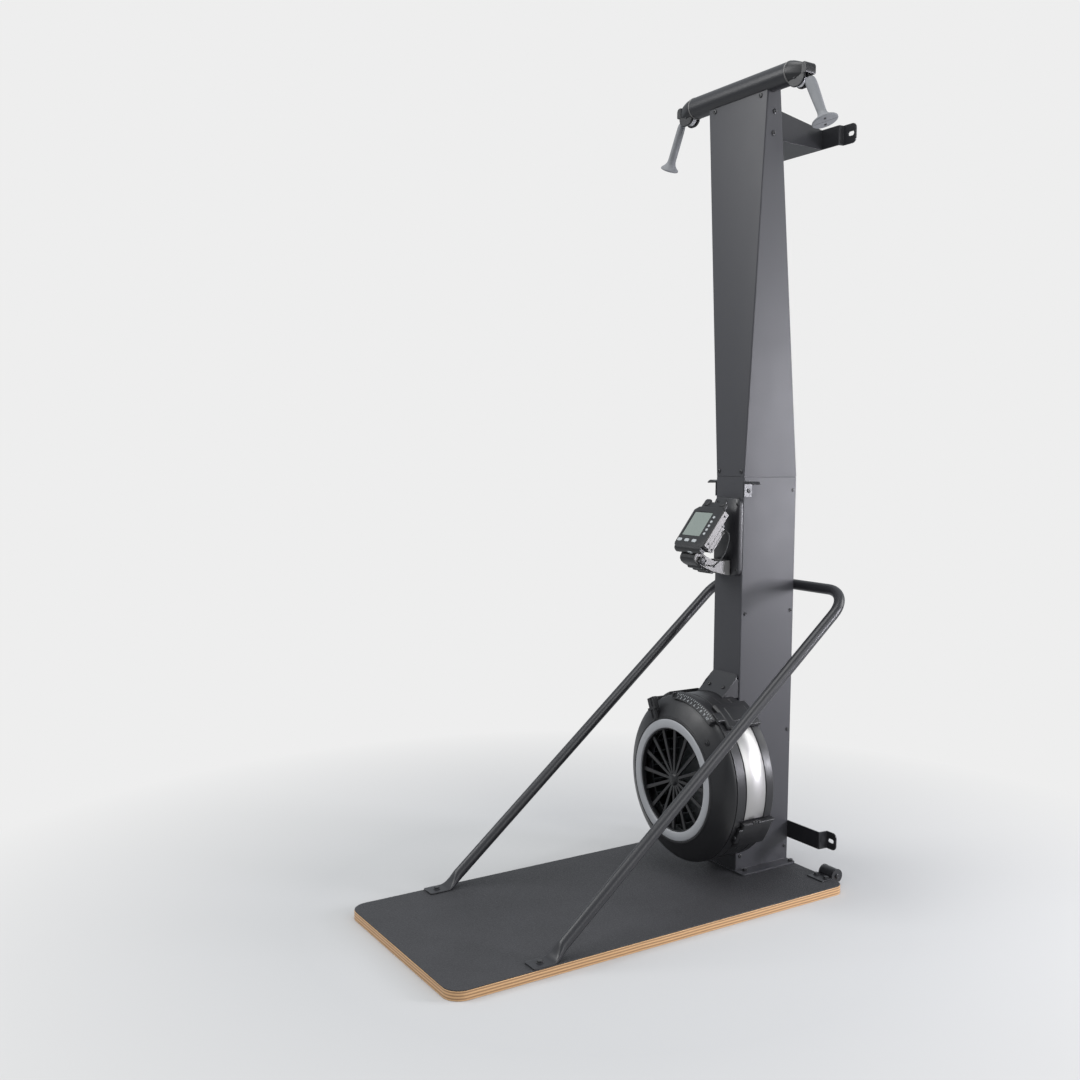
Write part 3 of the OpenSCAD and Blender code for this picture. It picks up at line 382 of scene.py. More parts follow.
def loft(rings, capped=True, looped=False):
    """Skin over rings of equally many points; looped joins the last ring to the first."""
    count = len(rings[0])
    points = [Vector(p) for ring in rings for p in ring]
    spans = len(rings) if looped else len(rings) - 1
    faces = []
    for i in range(spans):
        a, b = i * count, (i + 1) % len(rings) * count
        for k in range(count):
            n = (k + 1) % count
            faces.append((a + k, a + n, b + n, b + k))
    if capped and not looped:
        faces.append(tuple(range(count - 1, -1, -1)))
        faces.append(tuple(range((len(rings) - 1) * count, len(rings) * count)))
    return points, faces


def along_axes(axes, u, v, t):
    """Point whose coordinates u, v and t lie along the axes named by three letters, such as xzy."""
    place = dict(zip(axes, (u, v, t)))
    return Vector((place["x"], place["y"], place["z"]))


def prism(outline, t_from, t_to, axes="xyz", origin=(0, 0, 0)):
    rings = [[along_axes(axes, u, v, t) + Vector(origin) for u, v in outline] for t in (t_from, t_to)]
    return loft(rings)


def shifted(u, v, steps):
    """Outline given as steps from the point (u, v)."""
    return [(u + du, v + dv) for du, dv in steps]


def stack(layers):
    """Skin over outlines that lie one above the other; each layer is (outline, height)."""
    return loft([[(u, v, z) for u, v in outline] for outline, z in layers])


def on_circle(steps):
    """Cosine and sine of equal steps round a circle."""
    return [(math.cos(2 * math.pi * k / steps), math.sin(2 * math.pi * k / steps))
            for k in range(steps)]


def polar(centre, r, degrees):
    a = math.radians(degrees)
    return centre[0] + r * math.cos(a), centre[1] + r * math.sin(a)


def arc(centre, r, a_from, a_to, steps=8):
    """Points on an arc, angles in degrees."""
    return [polar(centre, r, a_from + (a_to - a_from) * i / steps) for i in range(steps + 1)]


def round_rect(w, h, r, centre=(0, 0), steps=6):
    x, y = w / 2 - r, h / 2 - r
    points = []
    for sx, sy, a in ((1, 1, 0), (-1, 1, 90), (-1, -1, 180), (1, -1, 270)):
        points += arc((centre[0] + sx * x, centre[1] + sy * y), r, a, a + 90, steps)
    return points


def turned(profile, axis="y", centre=(0, 0, 0), steps=128, a_from=0.0, a_to=360.0):
    """Closed profile of (radius, place along the axis), turned about it. Angles run from +X to +Z
    about Y, from +Y to +Z about X, and from +X to +Y about Z."""
    axes = {"y": "xzy", "x": "yzx", "z": "xyz"}[axis]
    full = abs(a_to - a_from) >= 359.9
    count = steps if full else max(2, round(steps * abs(a_to - a_from) / 360)) + 1
    span = (a_to - a_from) / (count if full else count - 1)
    rings = []
    for i in range(count):
        a = math.radians(a_from + span * i)
        rings.append([along_axes(axes, r * math.cos(a), r * math.sin(a), t) + Vector(centre)
                      for r, t in profile])
    return loft(rings, capped=not full, looped=full)


def rod(axis, centre, r, t_from, t_to, steps=48, edge=0.6):
    """Solid rod along an axis with small chamfers; centre gives its place across the axis."""
    profile = [(0, t_from), (r - edge, t_from), (r, t_from + edge), (r, t_to - edge),
               (r - edge, t_to), (0, t_to)]
    return turned(profile, axis, centre, steps)


def tube_along(path, r, steps=24, side=(0, 0, 1)):
    """Round tube along points; side is a direction that the path doesn't start in."""
    path = [Vector(p) for p in path]
    rings = []
    across = None
    for i, point in enumerate(path):
        ahead = (path[min(i + 1, len(path) - 1)] - path[max(i - 1, 0)]).normalized()
        if across is None:
            across = ahead.cross(Vector(side)).normalized()
        across = (across - ahead * across.dot(ahead)).normalized()
        up = ahead.cross(across)
        rings.append([point + r * (across * c + up * s) for c, s in on_circle(steps)])
    return loft(rings)


def smooth_path(points, per_span=6):
    """Catmull-Rom curve through points."""
    pts = [Vector(p) for p in points]
    pts = [2 * pts[0] - pts[1]] + pts + [2 * pts[-1] - pts[-2]]
    made = []
    for i in range(1, len(pts) - 2):
        a, b, c, d = pts[i - 1:i + 3]
        for k in range(per_span):
            t = k / per_span
            made.append(0.5 * (2 * b + (c - a) * t + (2 * a - 5 * b + 4 * c - d) * t * t
                               + (3 * b - a - 3 * c + d) * t ** 3))
    made.append(pts[-2])
    return made


def moved(shape, matrix):
    return [matrix @ p for p in shape[0]], shape[1]


def mirrored(shape):
    """The same shape on the other side of the machine's middle plane."""
    return [Vector((-p.x, p.y, p.z)) for p in shape[0]], [tuple(reversed(f)) for f in shape[1]]


def on_both_sides(shapes):
    return shapes + [mirrored(s) for s in shapes]


# Each side's name, the sign of its X, and what brings a shape from the right to that side
SIDES = (("right", 1, lambda shape: shape), ("left", -1, mirrored))


def bolt_head(place, out, r=6.5, h=4.0, kind="socket"):
    """Round head with a hexagonal socket, or a hexagonal head; out is the way it points."""
    turn = Vector(out).normalized().to_track_quat("Z", "Y").to_matrix().to_4x4()
    turn.translation = Vector(place)
    if kind == "hex":
        washer = turned([(0, 0), (r + 2.5, 0), (r + 2.5, 1.2), (0, 1.2)], "z", steps=32)
        flats = [polar((0, 0), r, 60 * k) for k in range(6)]
        crown = [(0.9 * u, 0.9 * v) for u, v in flats]
        head = stack([(flats, 1.0), (flats, h - 0.8), (crown, h)])
        return [moved(washer, turn), moved(head, turn)]
    steps = 48
    layers = [([(radius * c, radius * s) for c, s in on_circle(steps)], z)
              for radius, z in ((r, 0), (r, 0.45 * h), (0.93 * r, 0.75 * h), (0.72 * r, h))]
    flat_reach = 0.45 * r * math.cos(math.pi / 6)
    socket = []
    for k in range(steps):
        a = 2 * math.pi * k / steps
        reach = flat_reach / math.cos(a % (math.pi / 3) - math.pi / 6)
        socket.append((reach * math.cos(a), reach * math.sin(a)))
    return [moved(stack(layers + [(socket, h), (socket, 0.45 * h)]), turn)]


def bolt_heads(places, out, *size):
    return [shape for place in places for shape in bolt_head(place, out, *size)]


# Edges at a greater angle than this, in degrees, are bevelled and look sharp
SHARP = 38


def new_mesh(name, shapes):
    """Mesh of several shapes, with its faces turned outwards."""
    points, faces = [], []
    for shape_points, shape_faces in shapes:
        start = len(points)
        points += shape_points
        faces += [tuple(start + k for k in face) for face in shape_faces]
    mesh = bpy.data.meshes.new(name)
    mesh.from_pydata([p * MM for p in points], [], faces)
    mesh.validate()
    work = bmesh.new()
    work.from_mesh(mesh)
    bmesh.ops.recalc_face_normals(work, faces=work.faces)
    work.to_mesh(mesh)
    work.free()
    return mesh


def set_bevel(obj, width, segments, angle_limit):
    edge = obj.modifiers.new("edge", "BEVEL")
    edge.width, edge.segments, edge.angle_limit = width, segments, angle_limit
    edge.limit_method = "ANGLE"
    edge.harden_normals = True


def set_smooth(mesh, angle):
    mesh.polygons.foreach_set("use_smooth", [True] * len(mesh.polygons))
    mesh.set_sharp_from_angle(angle=math.radians(angle))


def piece(name, shapes, slot, body="frame", replaced=(), bevel=0.0, segments=2, angle=SHARP):
    """One object from several shapes, with its material, its body and the nodes it stands for."""
    mesh = new_mesh(name, shapes)
    obj = new_object(name, mesh)
    mesh.materials.append(MATS[slot])
    if bevel:
        set_bevel(obj, bevel * MM, segments, math.radians(angle))
    set_smooth(mesh, angle)
    if body:
        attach(obj, body)
    if replaced:
        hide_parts(*replaced)
    return obj


def cut(obj, shapes):
    """Takes shapes out of an object."""
    cutter = new_object("cutter", new_mesh("cutter", shapes))
    bevels = [(m.width, m.segments, m.angle_limit) for m in obj.modifiers if m.type == "BEVEL"]
    obj.modifiers.clear()
    tool = obj.modifiers.new("cut", "BOOLEAN")
    tool.operation = "DIFFERENCE"
    tool.object = cutter
    tool.solver = "EXACT"
    bpy.context.view_layer.update()
    ready = obj.evaluated_get(bpy.context.evaluated_depsgraph_get())
    made = bpy.data.meshes.new_from_object(ready)
    obj.modifiers.clear()
    obj.data = made
    bpy.data.objects.remove(cutter)
    for values in bevels:
        set_bevel(obj, *values)
    set_smooth(made, SHARP)


# Platform, columns and what is screwed to them

DECK_BACK = DECK_HIGH.y
DECK_TOP = DECK_HIGH.z
COLUMN_TOP_DEPTH = 44
SIDE_SLOPE = (TOP_HALF - COLUMN_HALF) / (COLUMN_TOP - SEAM_Z)
BACK_SLOPE = (COLUMN_BACK - COLUMN_FRONT - COLUMN_TOP_DEPTH) / (COLUMN_TOP - SEAM_Z)
FOOT_T = 5
SHEET_T = 4
SEAM_GAP = 1.8


def deck_outline(inset=0):
    half, front, back = DECK_HIGH.x, DECK_LOW.y, DECK_HIGH.y
    front_r, back_r = 45, 30
    points = []
    for sx, y, r, a in ((1, back - back_r, back_r, 0), (-1, back - back_r, back_r, 90),
                        (-1, front + front_r, front_r, 180), (1, front + front_r, front_r, 270)):
        points += arc((sx * (half - r), y), r - inset, a, a + 90, 10)
    return points


def make_deck():
    piece("board", [prism(deck_outline(), DECK_LOW.z, BOARD_TOP)], "plywood",
          replaced=["deck_board"], bevel=1.6, segments=3)
    piece("mat", [prism(deck_outline(0.8), BOARD_TOP, DECK_TOP)], "mat_rubber",
          replaced=["deck_mat"], bevel=1.3, segments=3)


def channel_outline(half, back, corner=4):
    """Channel open at its back, seen from above."""
    front = COLUMN_FRONT
    inner = corner - WALL
    points = [(half, back)] + arc((half - corner, front + corner), corner, 0, -90, 5)
    points += arc((-half + corner, front + corner), corner, -90, -180, 5) + [(-half, back)]
    points += [(-half + WALL, back)]
    points += arc((-half + corner, front + corner), inner, -180, -90, 3)
    points += arc((half - corner, front + corner), inner, -90, 0, 3)
    return points + [(half - WALL, back)]


def channel_between(z_from, z_to):
    """Channel of the upper column, which widens and grows shallower upwards."""
    rings = []
    for z in (z_from, z_to):
        up = max(0, z - SEAM_Z)
        outline = channel_outline(COLUMN_HALF + up * SIDE_SLOPE, COLUMN_BACK - up * BACK_SLOPE)
        rings.append([(x, y, z) for x, y in outline])
    return loft(rings)


def make_columns():
    flange = prism(round_rect(2 * (COLUMN_HALF + 40), COLUMN_BACK - COLUMN_FRONT + 6, 10,
                              (0, (COLUMN_FRONT - 6 + COLUMN_BACK) / 2)), DECK_TOP, DECK_TOP + FOOT_T)
    piece("lower_channel", [channel_between(DECK_TOP + 1, SEAM_Z - SEAM_GAP / 2), flange],
          "column_paint", replaced=["column_lower"], bevel=0.7)
    upper = piece("upper_channel", [channel_between(SEAM_Z + SEAM_GAP / 2, COLUMN_TOP)],
                  "column_paint", replaced=["column_upper"], bevel=0.7)
    cut(upper, [rod("x", (0, TUBE_Y, TUBE_Z), TUBE_R + 0.2, -TOP_HALF - 5, TOP_HALF + 5, 96)])
    deep = 1.4
    half, front, back = COLUMN_HALF - deep, COLUMN_FRONT + deep, COLUMN_BACK - 1
    strip = [(half, back), (half, front), (-half, front), (-half, back), (-half + 1, back),
             (-half + 1, front + 1), (half - 1, front + 1), (half - 1, back)]
    piece("seam_strip", [prism(strip, SEAM_Z - 4, SEAM_Z + 4)], "column_paint")


SIDE_SCREW_Z = (70, 420, 772, 1120)
FRONT_SCREWS = ((48, SEAM_Z + 15), (97, COLUMN_TOP - 23))
BRACKET_SCREW_Z = (2084, 2140)
DECK_BOLTS = ((75, COLUMN_FRONT + 24, FOOT_T), (87, DECK_BACK - 10, FOOT_T), (276, -367, SHEET_T),
              (206, DECK_BACK - 19, 3), (244, DECK_BACK - 19, 3))


def make_fasteners():
    heads = []
    for z in SIDE_SCREW_Z:
        for y in (COLUMN_FRONT + 16, COLUMN_BACK - 11):
            on_hook = z == SIDE_SCREW_Z[-1] and y < COLUMN_FRONT + 20
            out = COLUMN_HALF + (SHEET_T if on_hook else 0)
            heads += bolt_head((out, y, z), (1, 0, 0), 6 if on_hook else 5.4, 2.8)
    for z in BRACKET_SCREW_Z:
        out = COLUMN_HALF + (z - SEAM_Z) * SIDE_SLOPE
        heads += bolt_head((out, TUBE_Y + 14, z), (1, 0, -SIDE_SLOPE), 6.5, 3)
    for x, z in FRONT_SCREWS:
        heads += bolt_head((x, COLUMN_FRONT, z), (0, -1, 0), 6.5, 3)
    for x, y, lift in DECK_BOLTS:
        heads += bolt_head((x, y, DECK_TOP + lift), (0, 0, 1), 7.2, 6, "hex")
    piece("screws", on_both_sides(heads), "black_zinc", replaced=["fasteners"], angle=30)


# Brace rail: one bent tube whose ends are pressed flat into tabs

RAIL_R = 15
RAIL_X = 276
RAIL_BEND_R = 88
RAIL_SLOPE = math.radians(40.36)
RAIL_Y = DECK_BACK + RAIL_R
RAIL_Z = high("brace_rail").z - RAIL_R * math.cos(RAIL_SLOPE)
RAIL_FOOT_Z = DECK_TOP + 21
RAIL_STEPS = 32
TAB_T = 4
TAB_HALF = 25
TAB_END = -396


def section(centre, across, up, half_w, half_h, square=0.0):
    """Closed ring between a circle, for square = 0, and a rectangle with round corners, for 1."""
    power = 1 - 0.72 * square
    return [Vector(centre) + across * half_w * math.copysign(abs(c) ** power, c)
            + up * half_h * math.copysign(abs(s) ** power, s) for c, s in on_circle(RAIL_STEPS)]


def rail_half():
    cos_s, sin_s = math.cos(RAIL_SLOPE), math.sin(RAIL_SLOPE)
    down = Vector((0, -cos_s, -sin_s))
    normal = Vector((0, -sin_s, cos_s))
    start = Vector((0, RAIL_Y, RAIL_Z))
    straight = RAIL_X - RAIL_BEND_R
    rings = []
    for x in (0, straight / 2):
        rings.append(section(start + Vector((x, 0, 0)), down, normal, RAIL_R, RAIL_R))
    for i in range(13):
        a = math.radians(90 * i / 12)
        centre = start + Vector((straight + RAIL_BEND_R * math.sin(a), 0, 0))
        centre += down * RAIL_BEND_R * (1 - math.cos(a))
        across = down * math.cos(a) - Vector((math.sin(a), 0, 0))
        rings.append(section(centre, across, normal, RAIL_R, RAIL_R))
    across = Vector((-1, 0, 0))
    leg = (RAIL_Z - RAIL_FOOT_Z) / sin_s
    foot = start + Vector((RAIL_X, 0, 0)) + down * leg
    for part in (0.3, 0.6, 0.9):
        rings.append(section(start + Vector((RAIL_X, 0, 0)) + down * leg * part, across, normal,
                             RAIL_R, RAIL_R))
    tab_z = DECK_TOP + TAB_T / 2
    tab_from = foot.y - 30
    pressed = 10
    for i in range(pressed + 1):
        t = i / pressed
        ease = t * t * (3 - 2 * t)
        turn = RAIL_SLOPE * (1 - ease)
        centre = Vector((RAIL_X, foot.y + 18 + (tab_from - foot.y - 18) * t,
                         foot.z + 18 * math.tan(RAIL_SLOPE) * (1 - t) ** 2 * (1 - ease)
                         + (tab_z - foot.z) * ease))
        up = Vector((0, -math.sin(turn), math.cos(turn)))
        rings.append(section(centre, across, up, RAIL_R + (TAB_HALF - RAIL_R) * ease,
                             RAIL_R + (TAB_T / 2 - RAIL_R) * ease, ease))
    corner = 5
    for y, narrower in ((TAB_END + corner, 0), (TAB_END + 1.5, corner - 3.2), (TAB_END, corner)):
        rings.append(section((RAIL_X, y, tab_z), across, Vector((0, 0, 1)), TAB_HALF - narrower,
                             TAB_T / 2, 1))
    return loft(rings)


def make_rail():
    piece("rail", on_both_sides([rail_half()]), "black_paint", replaced=["brace_rail"], angle=45)


make_deck()
make_columns()
make_fasteners()
make_rail()


# Fan: shells, pale ring, grille, bands, clamps, damper and neck

FAN_Y_BAND = (low("fan_bands").y, high("fan_bands").y)
TRIM_R = high("fan_trim_ring").x
INTAKE_R = TRIM_R - 24.5
SHOULDER_IN = high("damper_ring").x
SHOULDER_Y = SHELL_BACK - 132
TRIM_BACK = high("fan_trim_ring").y
RIM_REACH = 22
SPOKES = 16
BLADES = 24
DRUM_RIBS = 12
BAND_FROM, BAND_TO = -16.9, 44.9
SCALE_FROM, SCALE_TO, SCALE_EDGE = 53, 97, 3
SCALE_NUMBERS = 10
LEVER_ANGLE = 115
UPPER_CLAMP, UPPER_CLAMP_SPAN = 55.4, 20.5
LOWER_CLAMP, LOWER_CLAMP_SPAN = -28, 20


def spun(shape, degrees):
    """Shape given round the fan's axis with X outwards, turned from +X towards +Z."""
    turn = Matrix.Rotation(math.radians(-degrees), 4, "Y")
    turn.translation = (0, 0, FAN_Z)
    return moved(shape, turn)


def fan_turned(profile, steps=160, a_from=0.0, a_to=360.0):
    return turned(profile, "y", (0, 0, FAN_Z), steps, a_from, a_to)


def fan_point(r, degrees, y):
    x, z = polar((0, FAN_Z), r, degrees)
    return Vector((x, y, z))


def curve_between(bends, steps):
    """Points on the curve with four control points."""
    made = []
    for i in range(steps + 1):
        t = i / steps
        shares = ((1 - t) ** 3, 3 * t * (1 - t) ** 2, 3 * t * t * (1 - t), t ** 3)
        made.append([sum(share * bend[k] for share, bend in zip(shares, bends)) for k in (0, 1)])
    return made


def make_front_shell():
    profile = shifted(FAN_R, SHELL_BACK, [(-3, -68), (0, -68.6)])
    profile += shifted(FAN_R, FAN_Y_BAND[0], [(0, -1), (-1.6, -1.4), (-1.6, -3.4), (0, -4)])
    profile += shifted(FAN_R, SHOULDER_Y, [(0, 3), (-0.5, 2.2), (-2.6, 2), (-2.6, 0), (-0.6, -0.4)])
    bends = shifted(FAN_R, SHOULDER_Y, [(-0.6, -1), (-7, -19)])
    profile += curve_between(bends + shifted(SHOULDER_IN, TRIM_FRONT, [(22, 14), (0, 4)]), 18)
    profile += shifted(SHOULDER_IN, TRIM_FRONT, [(-1.5, 4.6), (-2.4, 8)])
    profile += [(TRIM_R, TRIM_FRONT + 8), (TRIM_R, TRIM_BACK + 6), (INTAKE_R, TRIM_BACK + 6),
                (INTAKE_R, TRIM_BACK + 9), (SHOULDER_IN, TRIM_BACK + 9)]
    profile += shifted(FAN_R, SHOULDER_Y, [(-22, 0), (-4, 8)])
    rim = shifted(FAN_R, SHOULDER_Y - RIM_REACH, [(-12, RIM_REACH - 12), (-10, 0), (-8, 0), (6, 14),
                                                  (7, 17)])
    rim += shifted(FAN_R, SHOULDER_Y, [(7, 6), (6, 7), (-1, 7)])
    shapes = [fan_turned(profile, 200), fan_turned(rim, 240, SCALE_FROM, SCALE_TO)]
    rim_end = prism(round_rect(18, 26, 5, (FAN_R - 1.5, SHOULDER_Y - 8)), -2.5, 2.5)
    shapes += [spun(rim_end, degrees) for degrees in (SCALE_FROM, SCALE_TO)]
    piece("front_shell", shapes, "black_plastic", replaced=["fan_front_shell"], bevel=0.5, angle=32)
    screw = fan_point(195, 43, TRIM_FRONT + 12)
    boss = fan_turned([(0, 0), (9, 0), (8.4, -4), (7.4, -4.6), (0, -4.6)], 32)
    boss = moved(boss, Matrix.Translation(screw + Vector((0, 3, 0)) - Vector((0, 0, FAN_Z))))
    piece("shell_boss", [boss] + bolt_head(screw - Vector((0, 1.4, 0)), (0, -1, 0), 5.2, 3),
          "black_plastic", angle=30)


def make_scale():
    """White ticks and plain numbers on the front slope of the rim."""
    marks = []
    step = (SCALE_TO - SCALE_FROM - 2 * SCALE_EDGE) / (2 * SCALE_NUMBERS)
    slope = Vector((1, 1, 0)).normalized()
    outward = Vector((1, -1, 0)).normalized()
    foot = Vector((FAN_R - 8, SHOULDER_Y - RIM_REACH, 0))
    for i in range(2 * SCALE_NUMBERS + 1):
        near = 12.5 if i % 2 == 0 else 15
        ends = [foot + slope * s + outward * 0.05 for s in (near, 18.6)]
        half = Vector((0, 0, 0.65))
        under = [[end - half, end + half, end + half - outward * 0.4, end - half - outward * 0.4]
                 for end in ends]
        marks.append(spun(loft([[tuple(p + outward * 0.25) for p in ring] for ring in under]),
                          SCALE_FROM + SCALE_EDGE + step * i))
    for i in range(SCALE_NUMBERS):
        curve = bpy.data.curves.new("number", "FONT")
        curve.body = str(SCALE_NUMBERS - i)
        curve.size = 11
        curve.align_x = "CENTER"
        curve.extrude = 0.15
        text = bpy.data.objects.new("number", curve)
        mesh = bpy.data.meshes.new_from_object(text)
        place = foot + 2.6 * slope + 0.1 * outward
        turn = Matrix(((0, slope.x, outward.x, place.x), (0, slope.y, outward.y, place.y),
                       (-1, 0, 0, 0), (0, 0, 0, 1)))
        number = ([turn @ v.co for v in mesh.vertices], [tuple(p.vertices) for p in mesh.polygons])
        marks.append(spun(number, SCALE_FROM + SCALE_EDGE + step * (2 * i + 1)))
        bpy.data.objects.remove(text)
        bpy.data.curves.remove(curve)
        bpy.data.meshes.remove(mesh)
    piece("scale_marks", marks, "key_plastic")


def make_rings():
    trim = [(INTAKE_R, TRIM_BACK)] + shifted(INTAKE_R, TRIM_FRONT, [(0, 2), (0.8, 0.7), (2.4, 0)])
    trim += shifted(TRIM_R, TRIM_FRONT, [(-2.4, 0), (-0.7, 0.8), (0, 2.4), (-1.5, 3)])
    trim += [(TRIM_R - 1.5, TRIM_BACK)]
    piece("pale_ring", [fan_turned(trim, 200)], "pale_plastic", replaced=["fan_trim_ring"], angle=50)

    back = TRIM_BACK + 4.6
    ring = shifted(INTAKE_R, TRIM_BACK, [(-4, -6), (-3, -7), (-0.2, -7), (-0.2, 0.1)])
    ring += [(TRIM_R - 2, TRIM_BACK + 0.1), (TRIM_R - 2, back), (INTAKE_R - 4, back)]
    hub = shifted(0, TRIM_BACK, [(0, -7), (9, -6.6), (14.5, -5), (17.2, -2.4), (17.6, -1), (21, -0.6),
                                 (24, 0.6)])
    spoke = [(18, -3.8), (INTAKE_R / 2, -4.4), (INTAKE_R - 3, -5.6)]
    spoke += [(r, -half) for r, half in reversed(spoke)]
    spoke = prism(spoke, TRIM_BACK - 0.8, back, "xzy")
    shapes = [fan_turned(ring, 200), fan_turned(hub + [(24, back), (0, back)], 64)]
    shapes += [spun(spoke, -i * 360 / SPOKES) for i in range(SPOKES)]
    piece("grille", shapes, "black_plastic", replaced=["fan_grille"], bevel=0.5, angle=35)

    damper_back = high("damper_ring").y - 3
    ring = [(TRIM_R - 1.4, TRIM_FRONT + 2.6), (TRIM_R + 1, TRIM_FRONT + 2)]
    ring += shifted(SHOULDER_IN, TRIM_FRONT, [(-2, 2), (-0.6, 3.4)])
    ring += [(SHOULDER_IN - 0.6, damper_back), (TRIM_R - 1.4, damper_back)]
    end = SHOULDER_IN + 34
    front = TRIM_FRONT - 3
    lever = [box_shape((TRIM_R + 5, front, -12), (end, TRIM_FRONT + 3.7, 12)),
             box_shape((TRIM_R + 9, front - 2.4, -11), (end - 1, front + 1, -6)),
             box_shape((TRIM_R + 9, front - 2.4, 6), (end - 1, front + 1, 11)),
             box_shape((end - 9, front - 3, -18), (end - 1, TRIM_FRONT + 5, 18)),
             box_shape((end - 8, front, -14), (FAN_R + 3, TRIM_FRONT + 12, 14)),
             box_shape((end - 4, front - 2.4, -3), (FAN_R + 1, front + 2, 3))]
    piece("damper", [fan_turned(ring, 200)] + [spun(s, LEVER_ANGLE) for s in lever], "black_plastic",
          body="damper", replaced=["damper_ring"], bevel=0.9, segments=3, angle=40)


def make_drum():
    edge = 5
    profile = shifted(FAN_R, SHELL_BACK, [(-3, -68.2), (0, -67.8)])
    profile += shifted(FAN_R, FAN_Y_BAND[1], [(0, 1), (-1.6, 1.4), (-1.6, 3.4), (0, 4)])
    profile += arc((FAN_R - edge, SHELL_BACK - edge), edge, 0, 90, 6)
    profile += shifted(FAN_R, SHELL_BACK, [(-26, 0), (-28, -3)])
    profile += shifted(0, SHELL_BACK, [(100, -3), (96, 0), (70, 0), (66, 2)])
    profile += [(66, COLUMN_FRONT - 0.3), (40, COLUMN_FRONT - 0.3), (40, SHELL_BACK - 8),
                (FAN_R - 9, SHELL_BACK - 8)]
    rib = box_shape((98, SHELL_BACK - 4, -2), (FAN_R - 26, SHELL_BACK - 0.6, 2))
    shapes = [fan_turned(profile, 200)]
    shapes += [spun(rib, (i + 0.5) * 360 / DRUM_RIBS) for i in range(DRUM_RIBS)]
    piece("rear_shell", shapes, "black_plastic", replaced=["fan_rear_shell"], bevel=0.5, angle=35)

    band = shifted(FAN_R, FAN_Y_BAND[0], [(-1.4, 0), (0.1, 0), (0.7, 0.7)])
    band += shifted(FAN_R, FAN_Y_BAND[1], [(0.7, -0.7), (0.1, 0), (-1.4, 0)])
    piece("bands", on_both_sides([fan_turned(band, 240, BAND_FROM, BAND_TO)]), "steel_band",
          replaced=["fan_bands"], angle=50)


def clamp_section(height, y_from, y_to, edge):
    """Section of a clamp over the drum, with both outer edges rounded."""
    r = FAN_R + height - edge
    line = [(FAN_R + 0.2, y_from)] + arc((r, y_from + edge), edge, -90, 0, 5)
    return line + arc((r, y_to - edge), edge, 0, 90, 5) + [(FAN_R + 0.2, y_to)]


def make_clamps():
    half = UPPER_CLAMP_SPAN / 2
    upper = [fan_turned(clamp_section(13, SHOULDER_Y + 18, SHELL_BACK + 4, 9), 200,
                        UPPER_CLAMP - half, UPPER_CLAMP + half),
             fan_turned(clamp_section(14.5, SHOULDER_Y + 40, SHELL_BACK - 16, 6), 200,
                        UPPER_CLAMP - 6, UPPER_CLAMP + 6),
             spun(prism(round_rect(16, 34, 5, (FAN_R + 3.5, 0)), SHOULDER_Y - 3, SHOULDER_Y + 22,
                        "xzy"), UPPER_CLAMP - 0.5)]
    piece("upper_clamps", on_both_sides(upper), "black_plastic", replaced=["fan_clamps"], bevel=2.5,
          segments=3, angle=40)

    half = LOWER_CLAMP_SPAN / 2
    y_front, y_back = SHOULDER_Y + 27, SHELL_BACK + 2
    end = LOWER_CLAMP + half
    lower = [fan_turned(clamp_section(12, y_front, y_back, 8), 200, LOWER_CLAMP - half, end),
             fan_turned(clamp_section(16, y_front - 3, y_back, 5), 200, end - 2, end),
             spun(prism(round_rect(13, 50, 4, (FAN_R + 4, 0)), y_front - 10, y_front + 10, "xzy"),
                  LOWER_CLAMP - 0.5)]
    for y in (y_front + 29, y_front + 38, y_front + 47):
        lower.append(spun(box_shape((FAN_R + 10, y, 0), (FAN_R + 17, y + 6, 8)), end - 1))
    piece("lower_clamps", on_both_sides(lower), "black_plastic", bevel=1.8, segments=3, angle=40)

    bolt_r = FAN_R + 4.5
    places = [fan_point(bolt_r, UPPER_CLAMP + off, SHOULDER_Y - 3) for off in (-3.4, 2.8)]
    bolts = bolt_heads(places, (0, -1, 0), 4.2, 2.4)
    bolts += bolt_head(fan_point(bolt_r, LOWER_CLAMP - 1.5, y_front - 10), (0, -1, 0), 5, 3)
    piece("clamp_bolts", on_both_sides(bolts), "black_zinc", angle=30)


NECK_REACH = 54
NECK_T = 3
NECK_CORNER = 13
NECK_SLOPE = 0.96
NECK_SAG = 2.5
NECK_COLUMNS, NECK_ROWS = 28, 6


